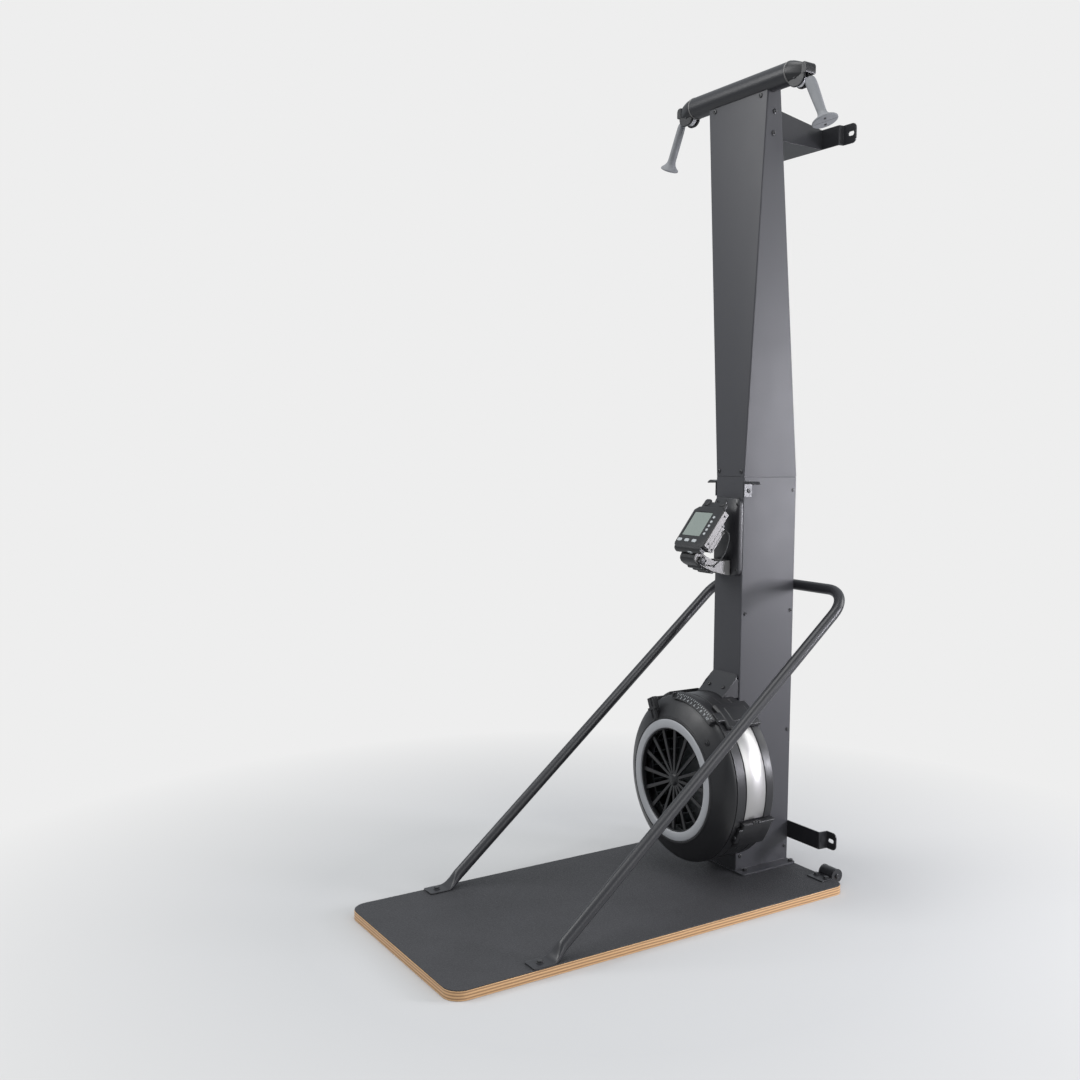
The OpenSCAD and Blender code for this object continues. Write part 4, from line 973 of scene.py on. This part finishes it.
def make_neck():
    """Sloping plate from the column down to the drum, between two cheeks."""
    half = high("neck_bracket").x
    drum_top = FAN_Z + FAN_R
    top = drum_top + NECK_REACH
    rings = []
    for i in range(NECK_COLUMNS + 1):
        x = -half + 2 * half * i / NECK_COLUMNS
        beyond = max(0.0, abs(x) - half + NECK_CORNER)
        drop = NECK_CORNER - math.sqrt(max(0.0, NECK_CORNER ** 2 - beyond ** 2))
        length = top - (FAN_Z + math.sqrt(FAN_R ** 2 - x ** 2) + 0.8)
        line = []
        for k in range(NECK_ROWS + 1):
            down = drop + (length - drop) * k / NECK_ROWS
            sag = NECK_SAG * math.sin(math.pi * down / length)
            line.append((x, COLUMN_FRONT - 0.6 - down * NECK_SLOPE + sag, top - down))
        rings.append(line + [(x, min(y + NECK_T, COLUMN_FRONT - 0.3), z - 1)
                             for x, y, z in reversed(line)])
    piece("neck_plate", [loft(rings)], "black_paint", replaced=["neck_bracket"], bevel=0.6, angle=40)
    cheek = shifted(COLUMN_FRONT, drum_top, [(-0.3, 40), (-0.3, -13), (-46, -9), (-54, -5), (-30, 24),
                                             (-12, 40)])
    piece("neck_cheeks", on_both_sides([prism(cheek, half - 3, half - 0.2, "yzx")]), "black_paint",
          bevel=0.5)
    places = [(x, COLUMN_FRONT - 36, top - 36) for x in (-31, 31)]
    piece("neck_screws", bolt_heads(places, (0, -1, 1), 5.2, 2.4), "black_zinc", angle=30)


def make_flywheel():
    disc = SHELL_BACK - 30
    blade_front = SHOULDER_Y + 6
    hub = shifted(0, disc, [(10, -26), (26, -26), (30, -22), (30, 0)])
    hub += shifted(FAN_R, disc, [(-14, 0), (-13, 1), (-13, 4)])
    hub += shifted(0, disc, [(30, 4), (30, 8), (10, 8)])
    front_ring = shifted(FAN_R, blade_front, [(-82, -2), (-14, -2), (-14, 1), (-82, 1)])
    curve = [(FAN_R - 80 + 66 * t, 9 * math.sin(math.pi * t)) for t in (0, 0.2, 0.4, 0.6, 0.8, 1)]
    outline = [(x, z - 1.5) for x, z in curve] + [(x, z + 1.5) for x, z in reversed(curve)]
    blade = prism(outline, blade_front, disc + 1, "xzy")
    shapes = [fan_turned(hub, 96), fan_turned(front_ring, 96)]
    shapes += [spun(blade, i * 360 / BLADES) for i in range(BLADES)]
    piece("fly_wheel", shapes, "flywheel_metal", body="flywheel", replaced=["flywheel"], angle=40)


make_front_shell()
make_scale()
make_rings()
make_drum()
make_clamps()
make_neck()
make_flywheel()


# Cross tube, swivelling heads, handles and brackets

START = TUBE_HALF + 4.8
SHEAVE_X = (low("head_sheave_right").x + high("head_sheave_right").x) / 2
SHEAVE_Z = (low("head_sheave_right").z + high("head_sheave_right").z) / 2
CHEEK_HALF = 16
CHEEK_R = 26.5
SLOT_HALF = 9
HANDLE_TILT = 27
NOSE = Vector((TUBE_HALF + 55, TUBE_Y, TUBE_Z - 3.7))
HANDLE_OUT = 28
HANDLE_TURN = 135
CORD_R = 2.5


def along_handle(shape):
    """Shape whose Z runs down the right handle from the nose."""
    turn = Matrix.Rotation(math.radians(180 - HANDLE_TILT), 4, "Y")
    turn.translation = NOSE
    return moved(shape, turn)


def make_tube():
    axis = (0, TUBE_Y, TUBE_Z)
    inner = TUBE_R - WALL
    half_tube = [(inner, TUBE_HALF), (TUBE_R - 0.8, TUBE_HALF), (TUBE_R, TUBE_HALF - 0.8)]
    tube = [(r, -x) for r, x in half_tube] + half_tube[::-1]
    piece("cross_tube", [turned(tube, "x", axis, 96)], "black_paint", replaced=["head_tube"],
          angle=30)
    ring = shifted(0, TUBE_HALF + 0.2, [(inner, 0), (TUBE_R, 0), (TUBE_R + 0.7, 0.8)])
    ring += shifted(0, high("swivel_rings").x, [(TUBE_R + 0.7, -0.8), (TUBE_R, 0), (inner, 0)])
    piece("rings", on_both_sides([turned(ring, "x", axis, 96)]), "silver_ring",
          replaced=["swivel_rings"], angle=50)


def head_fairing():
    """Body of a head: round where it meets the tube, narrow and square at its outer end."""
    along_y, along_z = Vector((0, 1, 0)), Vector((0, 0, 1))
    x_from, x_to = START + 0.8, SHEAVE_X + 30
    rings = [section((START, TUBE_Y, TUBE_Z), along_y, along_z, TUBE_R - 1.2, TUBE_R - 1.2)]
    steps = 12
    for i in range(steps + 1):
        t = i / steps
        top = TUBE_Z + TUBE_R - 20 * t ** 1.25
        bottom = TUBE_Z - TUBE_R + 8 * t
        half = TUBE_R - 15.5 * t ** 1.4
        rings.append(section((x_from + (x_to - x_from) * t, TUBE_Y, (top + bottom) / 2), along_y,
                             along_z, half, (top - bottom) / 2, 0.75 * t))
    return loft(rings)


def head_cheek():
    """Side plate of a head, round the sheave below and straight above."""
    out = SHEAVE_X + 9
    line = shifted(START + 0.6, SHEAVE_Z, [(0, 16), (0, -12)])
    line += arc((SHEAVE_X, SHEAVE_Z), CHEEK_R, 212, 268, 10)
    line += arc((out, SHEAVE_Z), CHEEK_R, 272, 345, 14)
    return line + shifted(out, SHEAVE_Z, [(26, 10), (22, 16)])


def head_block():
    return shifted(SHEAVE_X, SHEAVE_Z, [(26.5, 1), (42, 1), (44, 4), (44, 21), (41, 26.5), (37, 29),
                                        (26.5, 29)])


def make_heads():
    fairing = head_fairing()
    block = prism(head_block(), TUBE_Y - CHEEK_HALF - 1, TUBE_Y + CHEEK_HALF + 1, "xzy")
    cheeks = [prism(head_cheek(), TUBE_Y + a, TUBE_Y + b, "xzy")
              for a, b in ((-CHEEK_HALF, -SLOT_HALF), (SLOT_HALF, CHEEK_HALF))]
    front, back = TUBE_Y - SLOT_HALF, TUBE_Y + SLOT_HALF
    axis = (SHEAVE_X, 0, SHEAVE_Z)
    pocket = rod("y", axis, 25.5, front, back, 64, 0.2)
    opening = box_shape((START + 1, front, SHEAVE_Z - 32), (SHEAVE_X + 20, back, SHEAVE_Z + 6))
    way_out = along_handle(rod("z", (0, 0, 0), 6, -14, 30, 32, 0.2))
    axle = [rod("y", axis, 4, front, back, 24, 0.2)]
    for out in (-1, 1):
        axle += bolt_head((SHEAVE_X, TUBE_Y + out * CHEEK_HALF, SHEAVE_Z), (0, out, 0), 6, 3)
    for side, _, flip in SIDES:
        body = "head_" + side
        shell = piece("head_fairing_" + side, [flip(fairing)], "black_plastic", body=body,
                      replaced=[body], bevel=1.2, angle=50)
        for cutter in (pocket, opening, way_out):
            cut(shell, [flip(cutter)])
        end = piece("head_block_" + side, [flip(block)], "black_plastic", body=body, bevel=1.6,
                    segments=3)
        cut(end, [flip(way_out)])
        piece("head_cheeks_" + side, [flip(s) for s in cheeks], "black_plastic", body=body,
              bevel=1.8, segments=3)
        piece("axle_" + side, [flip(s) for s in axle], "black_zinc", body=body, angle=30)


def make_sheaves():
    """Turned sheaves with a groove, on their bearings."""
    r = (high("head_sheave_right").z - low("head_sheave_right").z) / 2
    half = [(4.2, -8.6), (7, -8.6), (8, -6), (18, -5), (r - 0.6, -6), (r, -5.4), (r, -4.4),
            (r - 5.6, -1.4)]
    line = half + [(r - 6, 0)] + [(u, -v) for u, v in reversed(half)]
    for side, sign, _ in SIDES:
        name = "head_sheave_" + side
        piece("turned_" + name, [turned(line, "y", (sign * SHEAVE_X, TUBE_Y, SHEAVE_Z), 72)],
              "sheave_metal", body=name, replaced=[name], angle=30)


# Sections of the grip from its top down: distance, width and thickness in millimetres
GRIP = ((0, 17, 12), (0.6, 20.5, 14.6), (2.2, 24.6, 17.6), (5, 27.2, 19.8), (9, 28.8, 21.2),
        (16, 30, 22.2), (30, 30, 22.8), (48, 29, 23.1), (70, 27.2, 23.3), (90, 25.4, 23.4),
        (104, 24.2, 23.4), (111, 25, 24), (116, 27.6, 26), (120, 31.6, 29), (124, 38, 34),
        (127, 45.6, 39.4), (129.6, 54, 44.6), (131.6, 62, 49), (133, 67.4, 51.4), (134.4, 69.6, 52.2),
        (135.4, 69.2, 51.9), (136, 69.8, 52.3), (137, 69, 51.6), (137.7, 66.4, 49.4), (138, 62, 46))


def on_handle(shape, flip):
    """Shape given along the handle's own axis, put on one side's handle."""
    turn = Matrix.Rotation(math.radians(HANDLE_TURN), 4, "Z")
    return flip(along_handle(moved(shape, turn)))


def make_handles():
    grip = stack([([(w / 2 * c, t / 2 * s) for c, s in on_circle(48)], HANDLE_OUT + z)
                  for z, w, t in GRIP])
    end = HANDLE_OUT + GRIP[-1][0]
    trim = [turned([(2.6, -3.6), (4.6, -3.6), (6, -2.4), (6.6, 0.6), (2.6, 0.6)], "z",
                   (0, 0, HANDLE_OUT), 32),
            prism(round_rect(58, 0.9, 0.4), end - 0.3, end + 0.12)]
    trim += bolt_heads([(0, y, end - 0.4) for y in (-13, 13)], (0, 0, 1), 3.6, 1.4)
    for side, _, flip in SIDES:
        body = "handle_" + side
        piece("grip_" + side, [on_handle(grip, flip)], "grip_rubber", body=body, replaced=[body],
              angle=60)
        piece("grip_trim_" + side, [on_handle(s, flip) for s in trim], "black_zinc", body=body,
              angle=30)


# Route of the cord in a head, as steps along X and Z from the middle of the tube's end
NOSE_STEPS = ((0.4, 2.5), (15, 2.5), (29, 2.5), (34.4, 1.8), (41, 0), (48, -1.8), (51.2, -3),
              (53.8, -4.8), (55.8, -6.9), (57.6, -9.6), (58.4, -11))
TAIL_FROM = 8.3
TAIL_PARTS = 10


def make_cords():
    nose = [(TUBE_HALF + x, TUBE_Y, TUBE_Z + z) for x, z in NOSE_STEPS]
    nose_cord = tube_along(smooth_path(nose, 3), CORD_R, 20, (0, 1, 0))
    tail = [(0, 0, TAIL_FROM + (HANDLE_OUT - TAIL_FROM) * i / TAIL_PARTS)
            for i in range(TAIL_PARTS + 1)]
    tail_cord = along_handle(tube_along(tail, CORD_R, 20, (0, 1, 0)))
    for side, sign, flip in SIDES:
        piece("cord_at_nose_" + side, [flip(nose_cord)], "cord_sheath", body="head_" + side,
              replaced=["nose_cord_" + side])
        obj = piece("cord_to_grip_" + side, [flip(tail_cord)], "cord_sheath", body=None,
                    replaced=["tail_cord_" + side])
        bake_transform(obj)


def bracket_piece(name, plates, ear, node_name):
    """Bracket from its plates and its joggled ear, which ends in a slotted plate at each side."""
    x_from, x_to, z_from, z_to, slot_x, strip_back = ear
    wall = high("wall_bracket_upper").y
    joggle = shifted(x_from, strip_back - SHEET_T, [(-0.5, 0), (2, 0), (5, 2)])
    joggle += shifted(x_from, wall, [(7, -SHEET_T), (9, -SHEET_T), (9, 0), (4, 0)])
    joggle += shifted(x_from, strip_back, [(1, 0), (-0.5, 0)])
    piece(name, plates + on_both_sides([prism(joggle, z_from, z_to)]), "black_paint",
          replaced=[node_name], bevel=0.6)
    r = 14
    end = [(x_from + 8.5, z_from)] + arc((x_to - r, z_from + r), r, -90, 0, 8)
    end += arc((x_to - r, z_to - r), r, 0, 90, 8) + [(x_from + 8.5, z_to)]
    plate = prism(end, wall - SHEET_T, wall, "xzy")
    slot = round_rect(22, 12, 5.9, (slot_x, (z_from + z_to) / 2), 8)
    slot = prism(slot, wall - 12, wall + 2, "xzy")
    for side, _, flip in SIDES:
        obj = piece(f"{name}_end_{side}", [flip(plate)], "black_paint", bevel=0.6)
        cut(obj, [flip(slot)])


def make_brackets():
    ear_h = 53
    z = low("wall_bracket_upper").z
    back, ear_end = high("wall_bracket_upper").y - 14, high("wall_bracket_upper").x
    inner = back - SHEET_T
    side_x = COLUMN_HALF + (z - SEAM_Z) * SIDE_SLOPE - WALL - SHEET_T - 0.4
    line = shifted(TUBE_Y, z, [(4, 81), (45, 78)]) + [(inner, z + ear_h), (inner, z), (TUBE_Y + 4, z)]
    side = prism(line, side_x, side_x + SHEET_T, "yzx")
    floor = box_shape((-side_x, TUBE_Y + 45, z), (side_x, inner, z + SHEET_T))
    x_from = ear_end - 54
    strip = box_shape((-x_from, inner, z), (x_from, back, z + ear_h))
    ear = (x_from, ear_end, z, z + ear_h, ear_end - 18, back)
    bracket_piece("upper_bracket", on_both_sides([side]) + [floor, strip], ear, "wall_bracket_upper")

    z, top = low("wall_bracket_lower").z, high("wall_bracket_lower").z
    back, ear_end = DECK_BACK + SHEET_T, high("wall_bracket_lower").x
    strip = box_shape((-ear_end + 43, DECK_BACK, z), (ear_end - 43, back, top))
    ear = (ear_end - 44, ear_end, z, top, ear_end - 20, back)
    bracket_piece("lower_bracket", [strip], ear, "wall_bracket_lower")


# Section of a hook outwards from the column: its leg, its shelf and the turned-up lip
HOOK = ((0, -43), (4, -43), (4, -6), (6, -4.4), (9, -4), (16, -3.5), (23, -1.4), (28, -1.2),
        (33, -3), (38.5, -7.5), (41, -5.5), (35, -0.5), (29, 2), (23, 2), (16, 0), (9, -0.6),
        (4, -0.2), (0, -1))


def make_hooks():
    line = shifted(COLUMN_HALF + 0.1, SEAM_Z - 13, HOOK)
    piece("hooks", on_both_sides([prism(line, COLUMN_FRONT, COLUMN_FRONT + 28, "xzy")]),
          "black_paint", replaced=["storage_hooks"], bevel=0.6)


def make_wheels():
    """Hooded brackets with their axle ends, and wheels with a groove round the tread."""
    r = (high("wheel_right").z - low("wheel_right").z) / 2
    half = (high("wheel_right").x - low("wheel_right").x) / 2
    x, y, z = (low("wheel_right") + high("wheel_right")) / 2
    inner = 23
    hood = r + 4.6
    line = [(y - hood, DECK_TOP), (y - hood, z)]
    line += [polar((y, z), hood, a) for a in range(172, 44, -8)]
    line += [polar((y, z), hood - 3, a) for a in range(45, 176, 8)]
    line += [(y - hood + 2.4, z), (y - hood + 2.4, DECK_TOP)]
    cheek = arc((y, z), hood + 1, -62, 180, 24)
    cheek += [(y - hood - 1, DECK_TOP), (DECK_BACK + 0.6, DECK_TOP), (DECK_BACK + 0.6, DECK_TOP - 4)]
    shapes = [prism(line, x - inner - 1, x + inner + 1, "yzx"),
              box_shape((x - inner - 8, DECK_BACK - 45, DECK_TOP),
                        (x + inner + 8, DECK_BACK, DECK_TOP + 3))]
    shapes += [prism(cheek, at, at + 4, "yzx") for at in (x - inner - 4, x + inner)]
    shapes += [rod("x", (0, y, z), 7, at, at + 4, 32, 0.8) for at in (x - inner - 8, x + inner + 4)]
    piece("hoods", on_both_sides(shapes), "black_paint", replaced=["wheel_brackets"], bevel=0.6)
    tread = [(4.2, half), (r - 4, half), (r - 1, half - 0.8), (r, half - 3), (r, 4), (r - 1, 3)]
    tyre = [(u, -v) for u, v in tread] + tread[::-1]
    for side, sign, _ in SIDES:
        body = "wheel_" + side
        piece("tyre_" + side, [turned(tyre, "x", (sign * x, y, z), 48)], "wheel_rubber", body=body,
              replaced=[body], angle=30)


make_tube()
make_heads()
make_sheaves()
make_handles()
make_cords()
make_brackets()
make_hooks()
make_wheels()


# Monitor: case, keys, housing, hinge, arm, plate and cable

FACE_Z = 965
FACE_LEAN = 37.2
FACE_Y = COLUMN_FRONT - 149
FACE = Matrix.Translation((0, FACE_Y, FACE_Z)) @ Matrix.Rotation(math.radians(-FACE_LEAN), 4, "X")
CASE_HALF = 65
CASE_TOP = 136
CASE_DEPTH = 20.5
SCREEN_X, SCREEN_W = -14.5, 77
SCREEN_FROM, SCREEN_TO = 37.5, 116
KEY_X, KEY_ROWS, KEY_R = 40, (46.5, 60, 73.5, 87, 102), 4.5
MENU_KEY_X, MENU_KEY_ROW = (-50, -17.5, 15), 21
STRIP_T = 2.4
FLANGE_X = 57
ARM_X = -10
ARM_HALF = 38
KNOB_Y, KNOB_Z = 289, 926
MOUNT_X, MOUNT_Z = 5, FACE_Z + 25
MOUNT_HALF_W, MOUNT_HALF_H = 55, 110


def on_face(shape):
    return moved(shape, FACE)


def panel(outline_at, steps):
    """Skin over a face outline at depths behind the face; each step is (inset, depth)."""
    return loft([[(x, depth, z) for x, z in outline_at(inset)] for inset, depth in steps])


def case_outline(inset):
    """Front of the case, with its cut top corners and round lower ones."""
    half, top, bottom = CASE_HALF - inset, CASE_TOP - inset, 3 + inset
    cut_w, cut_h, r = 14, 10, 6
    points = arc((half - r, bottom + r), r, -90, 0, 5)
    points += [(half, top - cut_h - 1.5), (half - 0.8, top - cut_h + 0.8), (half - cut_w + 1, top - 0.6),
               (half - cut_w - 1.5, top)]
    return points + [(-x, z) for x, z in reversed(points)]


def tier_outline(half, z_from, z_to, corner):
    def outline(inset):
        w, h = 2 * (half - inset), z_to - z_from - 2 * inset
        return round_rect(w, h, max(corner - inset, 0.5), (0, (z_from + z_to) / 2))
    return outline


def window_outline(wider, r):
    """Outline of the display, made that much wider and higher, with corners of radius r."""
    return round_rect(SCREEN_W + wider, SCREEN_TO - SCREEN_FROM + wider, r,
                      (SCREEN_X, (SCREEN_FROM + SCREEN_TO) / 2), 4)


def make_case():
    front = panel(case_outline, ((2.6, 0), (1.2, 0.35), (0.35, 1.2), (0, 2.8), (0, 17.5), (0.5, 19.6),
                                 (1.6, CASE_DEPTH)))
    obj = piece("case", [on_face(front)], "black_plastic", body="monitor", replaced=["monitor_case"],
                angle=50)
    holes = [prism(window_outline(5, 3), -2, 1.3, "xzy")]
    holes += [rod("y", (KEY_X, 0, z), KEY_R + 0.7, -2, 9, 32, 0.1) for z in KEY_ROWS]
    holes += [prism(round_rect(20.4, 11.4, 4.6, (x, MENU_KEY_ROW)), -2, 9, "xzy") for x in MENU_KEY_X]
    cut(obj, [on_face(s) for s in holes])

    rest = tier_outline(52, 118, 157, 12)
    shapes = [panel(rest, ((3, 5.2), (1, 5.8), (0, 7.4), (0, 12.4), (1.2, 13.4)))]
    knob = panel(tier_outline(13, 143, 165, 8), ((2.4, 3), (0.8, 3.5), (0, 5), (0, 9), (1, 10.4)))
    shapes += [moved(knob, Matrix.Translation((x, 0, 0))) for x in (-34, 34)]
    chin = [(1.2, 12), (0.4, 6), (0.6, 1), (2.2, -3.4), (5, -6.8), (9, -8.8), (14, -9.8), (18, -9.6),
            (20, -7), (20.4, -2), (20.4, 12)]
    shapes.append(prism(chin, -58, 58, "yzx"))
    shapes.append(prism([(20, 10), (38.4, 12), (38.4, 100), (20, 102)], -53, 53, "yzx"))
    shapes += [box_shape((-54.2, 22, z), (54.2, 39.2, z + 2.4)) for z in (24, 42, 60, 78, 92)]
    piece("case_trim", [on_face(s) for s in shapes], "black_plastic", body="monitor", bevel=1.1,
          segments=3)
    for name, shape, slot, replaced, bevel in (
            ("chin_tab", prism(round_rect(20, 9, 4.4, (10, 12.5)), -10.9, -9.2), "key_plastic", (), 0.4),
            ("window_edge", prism(window_outline(4, 2.6), 0.75, 1.6, "xzy"), "black_plastic", (), 0.3),
            ("window", prism(window_outline(0, 1.6), 0.45, 1.4, "xzy"), "display",
             ("monitor_screen",), 0.25)):
        piece(name, [on_face(shape)], slot, body="monitor", replaced=replaced, bevel=bevel)


def make_keys():
    cap = [(0, -1.5), (KEY_R - 1.6, -1.5), (KEY_R - 0.5, -1.1), (KEY_R, -0.2), (KEY_R, 6), (0, 6)]
    keys = [(f"key_{i + 1}", turned(cap, "y", (KEY_X, 0, z), 40)) for i, z in enumerate(KEY_ROWS)]
    for i, x in enumerate(MENU_KEY_X):
        wide_cap = panel(lambda inset, x=x: round_rect(19 - 2 * inset, 10 - 2 * inset, 4 - inset,
                                                       (x, MENU_KEY_ROW)),
                         ((1.3, -1.5), (0.4, -1.1), (0, -0.2), (0, 6)))
        keys.append((f"menu_key_{i + 1}", wide_cap))
    for name, shape in keys:
        piece(name + "_cap", [on_face(shape)], "key_plastic", body=name, replaced=[name], angle=50)


def make_back():
    """Silver strips along the case and flanges of the plate behind it."""
    strip = prism(round_rect(19, 116, 2, (11, 68), 3), CASE_HALF, CASE_HALF + STRIP_T, "yzx")
    flange = [(28, 10), (40.5, 10), (45.5, 16), (45.5, 84), (40, 91), (28, 91)]
    made = on_both_sides([strip, prism(flange, 54.4, FLANGE_X, "yzx")])
    made += [box_shape((-FLANGE_X, 38.6, 12), (FLANGE_X, 41.2, 90)),
             box_shape((-40, 41.2, 22), (40, 45.2, 80))]
    piece("silver_back", [on_face(s) for s in made], "silver_ring", body="monitor",
          replaced=["monitor_back"], bevel=0.7)
    places = [(CASE_HALF + STRIP_T, 11, 22), (CASE_HALF + STRIP_T, 11, 114), (FLANGE_X, 38, 20),
              (FLANGE_X, 38, 80)]
    heads = on_both_sides(bolt_heads(places, (1, 0, 0), 3, 1.4))
    piece("back_screws", [on_face(s) for s in heads], "black_zinc", body="monitor", angle=30)


def make_hinge():
    shell = [(281, 952), (274, 944), (270, 936), (269, 929), (273, 921), (282, 914), (296, 907),
             (313, 900), (330, 893.5), (350, 888.5), (362, 887), (364, 893), (340, 912), (322, 926),
             (306, 940), (296, 952)]
    shapes = [prism(shell, ARM_X - 33, ARM_X + 33, "yzx")]
    for y, z in ((299, 903), (317, 895.6), (335, 888.6)):
        rib = shifted(y, z, [(-6, 6), (-5, 0), (3, -2.6), (7, -1), (5, 8)])
        shapes.append(prism(rib, ARM_X - 29, ARM_X + 29, "yzx"))
    piece("hinge_shell", shapes, "black_plastic", body="monitor", bevel=1.6, segments=3)
    knob = [(0, 0), (10.4, 0), (11.4, 1.2), (11.4, 6.6), (10, 8.4), (6, 9), (0, 9)]
    shapes = [turned(knob, "x", steps=48)]
    for k in range(6):
        shapes.append(rod("x", (0, *polar((0, 0), 11.2, 60 * k)), 3.2, 1, 7.6, 20, 0.8))
    place = Matrix.Translation((ARM_X + ARM_HALF + 0.4, KNOB_Y, KNOB_Z))
    piece("hinge_knob", [moved(s, place) for s in shapes], "black_plastic", angle=45)


def make_arm():
    outline = [(268, 937.5), (270.5, 943), (275, 947.6), (281, 950.4), (290, 948), (313, 935),
               (337, 924), (360, 922), (396, 922), (396, 881), (386, 881), (358, 887.5), (330, 895),
               (300, 907.5), (278, 918), (270, 924.5), (266.8, 930)]
    behind = [(300, 941), (313, 935)] + outline[6:13] + [(300, 908)]
    shapes = [prism(outline, ARM_X + 34, ARM_X + ARM_HALF, "yzx"),
              prism(behind, ARM_X - 37.6, ARM_X - 33.6, "yzx"),
              box_shape((ARM_X - ARM_HALF, 392, 881), (ARM_X + ARM_HALF, 396, 922))]
    piece("arm_plates", shapes, "silver_ring", replaced=["monitor_arm"], bevel=0.8)
    screws = []
    for out in (-1, 1):
        screws += bolt_head((ARM_X + out * ARM_HALF, 336, 909), (out, 0, 0), 4.4, 2)
    piece("arm_screws", screws, "black_zinc", angle=30)


def make_mount():
    outline = round_rect(2 * MOUNT_HALF_W, 2 * MOUNT_HALF_H, 18, (MOUNT_X, MOUNT_Z), 8)
    rings = [[(MOUNT_X + (x - MOUNT_X) * (1 - inset / MOUNT_HALF_W), COLUMN_FRONT - out,
               MOUNT_Z + (z - MOUNT_Z) * (1 - inset / MOUNT_HALF_H)) for x, z in outline]
             for inset, out in ((0, 0.2), (0, 9.6), (0.8, 12), (2.4, 14))]
    piece("mount_plate", [loft(rings)], "black_paint", replaced=["monitor_mount"], angle=50)
    places = [(x, COLUMN_FRONT - 13.8, FACE_Z + up) for up in (118, -68) for x in (-42, 52)]
    piece("mount_screws", bolt_heads(places, (0, -1, 0), 5, 2.4), "black_zinc", angle=30)


# Route of the cable, as steps from the column's front and the lower edge of the monitor's face
CABLE_STEPS = ((55, -64, 45), (63, -60, 42), (69, -57, 34), (71.5, -59, 20), (71.5, -64, 3),
               (70, -71, -15), (66, -80, -31), (60, -88, -43), (52, -93, -50), (40, -94, -53),
               (28.2, -94, -53))


def make_cable():
    route = [(x, COLUMN_FRONT + y, FACE_Z + z) for x, y, z in CABLE_STEPS]
    piece("cable", [tube_along(smooth_path(route, 4), 2, 16)], "cord_sheath", body="monitor",
          replaced=["monitor_cable"])


make_case()
make_keys()
make_back()
make_hinge()
make_arm()
make_mount()
make_cable()


# Floor, backdrop and light

BACKDROP = (0.855, 0.855, 0.855)
SKY_COLOR = (0.9, 0.95, 1)
SKY_STRENGTH = 0.55
FLOOR_COLOR = (0.52, 0.52, 0.52)
FLOOR_SPAN = 60
FLOOR_FADE_FROM, FLOOR_FADE_TO = 0.8, 2.0


def make_world():
    """Backdrop for the camera and a weak even light for all else."""
    world = bpy.data.worlds.new("studio")
    bpy.context.scene.world = world
    world.use_nodes = True
    world.node_tree.nodes.clear()
    out = node(world, "ShaderNodeOutputWorld")
    seen = node(world, "ShaderNodeBackground", Color=(*BACKDROP, 1))
    lighting = node(world, "ShaderNodeBackground", Color=(*SKY_COLOR, 1), Strength=SKY_STRENGTH)
    path = node(world, "ShaderNodeLightPath")
    straight = maths(world, "MAXIMUM", path.outputs["Is Camera Ray"],
                     path.outputs["Is Transmission Ray"])
    mix_shaders(world, straight, lighting, seen, out)


def make_floor():
    """Pale floor that keeps the shadow close by and fades into the backdrop further off."""
    mesh = bpy.data.meshes.new("floor")
    corners = [(x * FLOOR_SPAN, y * FLOOR_SPAN, 0) for x, y in ((-1, -1), (1, -1), (1, 1), (-1, 1))]
    mesh.from_pydata(corners, [], [(0, 1, 2, 3)])
    floor = new_object("floor", mesh)
    mat = new_material("floor", FLOOR_COLOR, 0.8, Specular_IOR_Level=0.1)
    mesh.materials.append(mat)
    far = node(mat, "ShaderNodeEmission", Color=(*BACKDROP, 1), Strength=1.0)
    coordinates = node(mat, "ShaderNodeTexCoord")
    length = node(mat, "ShaderNodeVectorMath", operation="LENGTH")
    link(mat, coordinates.outputs["Object"], length.inputs[0])
    fade = to_range(mat, length.outputs["Value"], 0, 1, FLOOR_FADE_FROM, FLOOR_FADE_TO)
    path = node(mat, "ShaderNodeLightPath")
    seen = maths(mat, "MULTIPLY", fade, path.outputs["Is Camera Ray"])
    mix_shaders(mat, seen, shader_of(mat), far, mat.node_tree.nodes["Material Output"])


def area_light(name, place, target, size, power, color=(1, 1, 1)):
    data = bpy.data.lights.new(name, "AREA")
    data.shape = "RECTANGLE"
    data.size, data.size_y = size
    data.energy = power
    data.color = color
    light = new_object(name, data)
    light.location = place
    light.rotation_euler = (Vector(target) - Vector(place)).to_track_quat("-Z", "Y").to_euler()


make_world()
make_floor()
area_light("key", (-2.2, -3.4, 3.6), (0, 0.3, 1.0), (2.4, 2.4), 100)
area_light("side", (4.2, 0.6, 2.2), (0, 0.4, 1.0), (2.0, 3.0), 55)
area_light("seam", (2.3, 2.5, 1.05), (0.08, 0.5, 1.05), (0.5, 0.8), 62, (0.93, 0.92, 1.0))
area_light("top", (0.2, -0.6, 4.6), (0, 0.2, 0.5), (2.5, 2.5), 70)
area_light("rim", (1.6, 4.2, 2.6), (0, 0.4, 1.2), (1.6, 2.6), 60)

bpy.context.scene.view_settings.view_transform = "Standard"
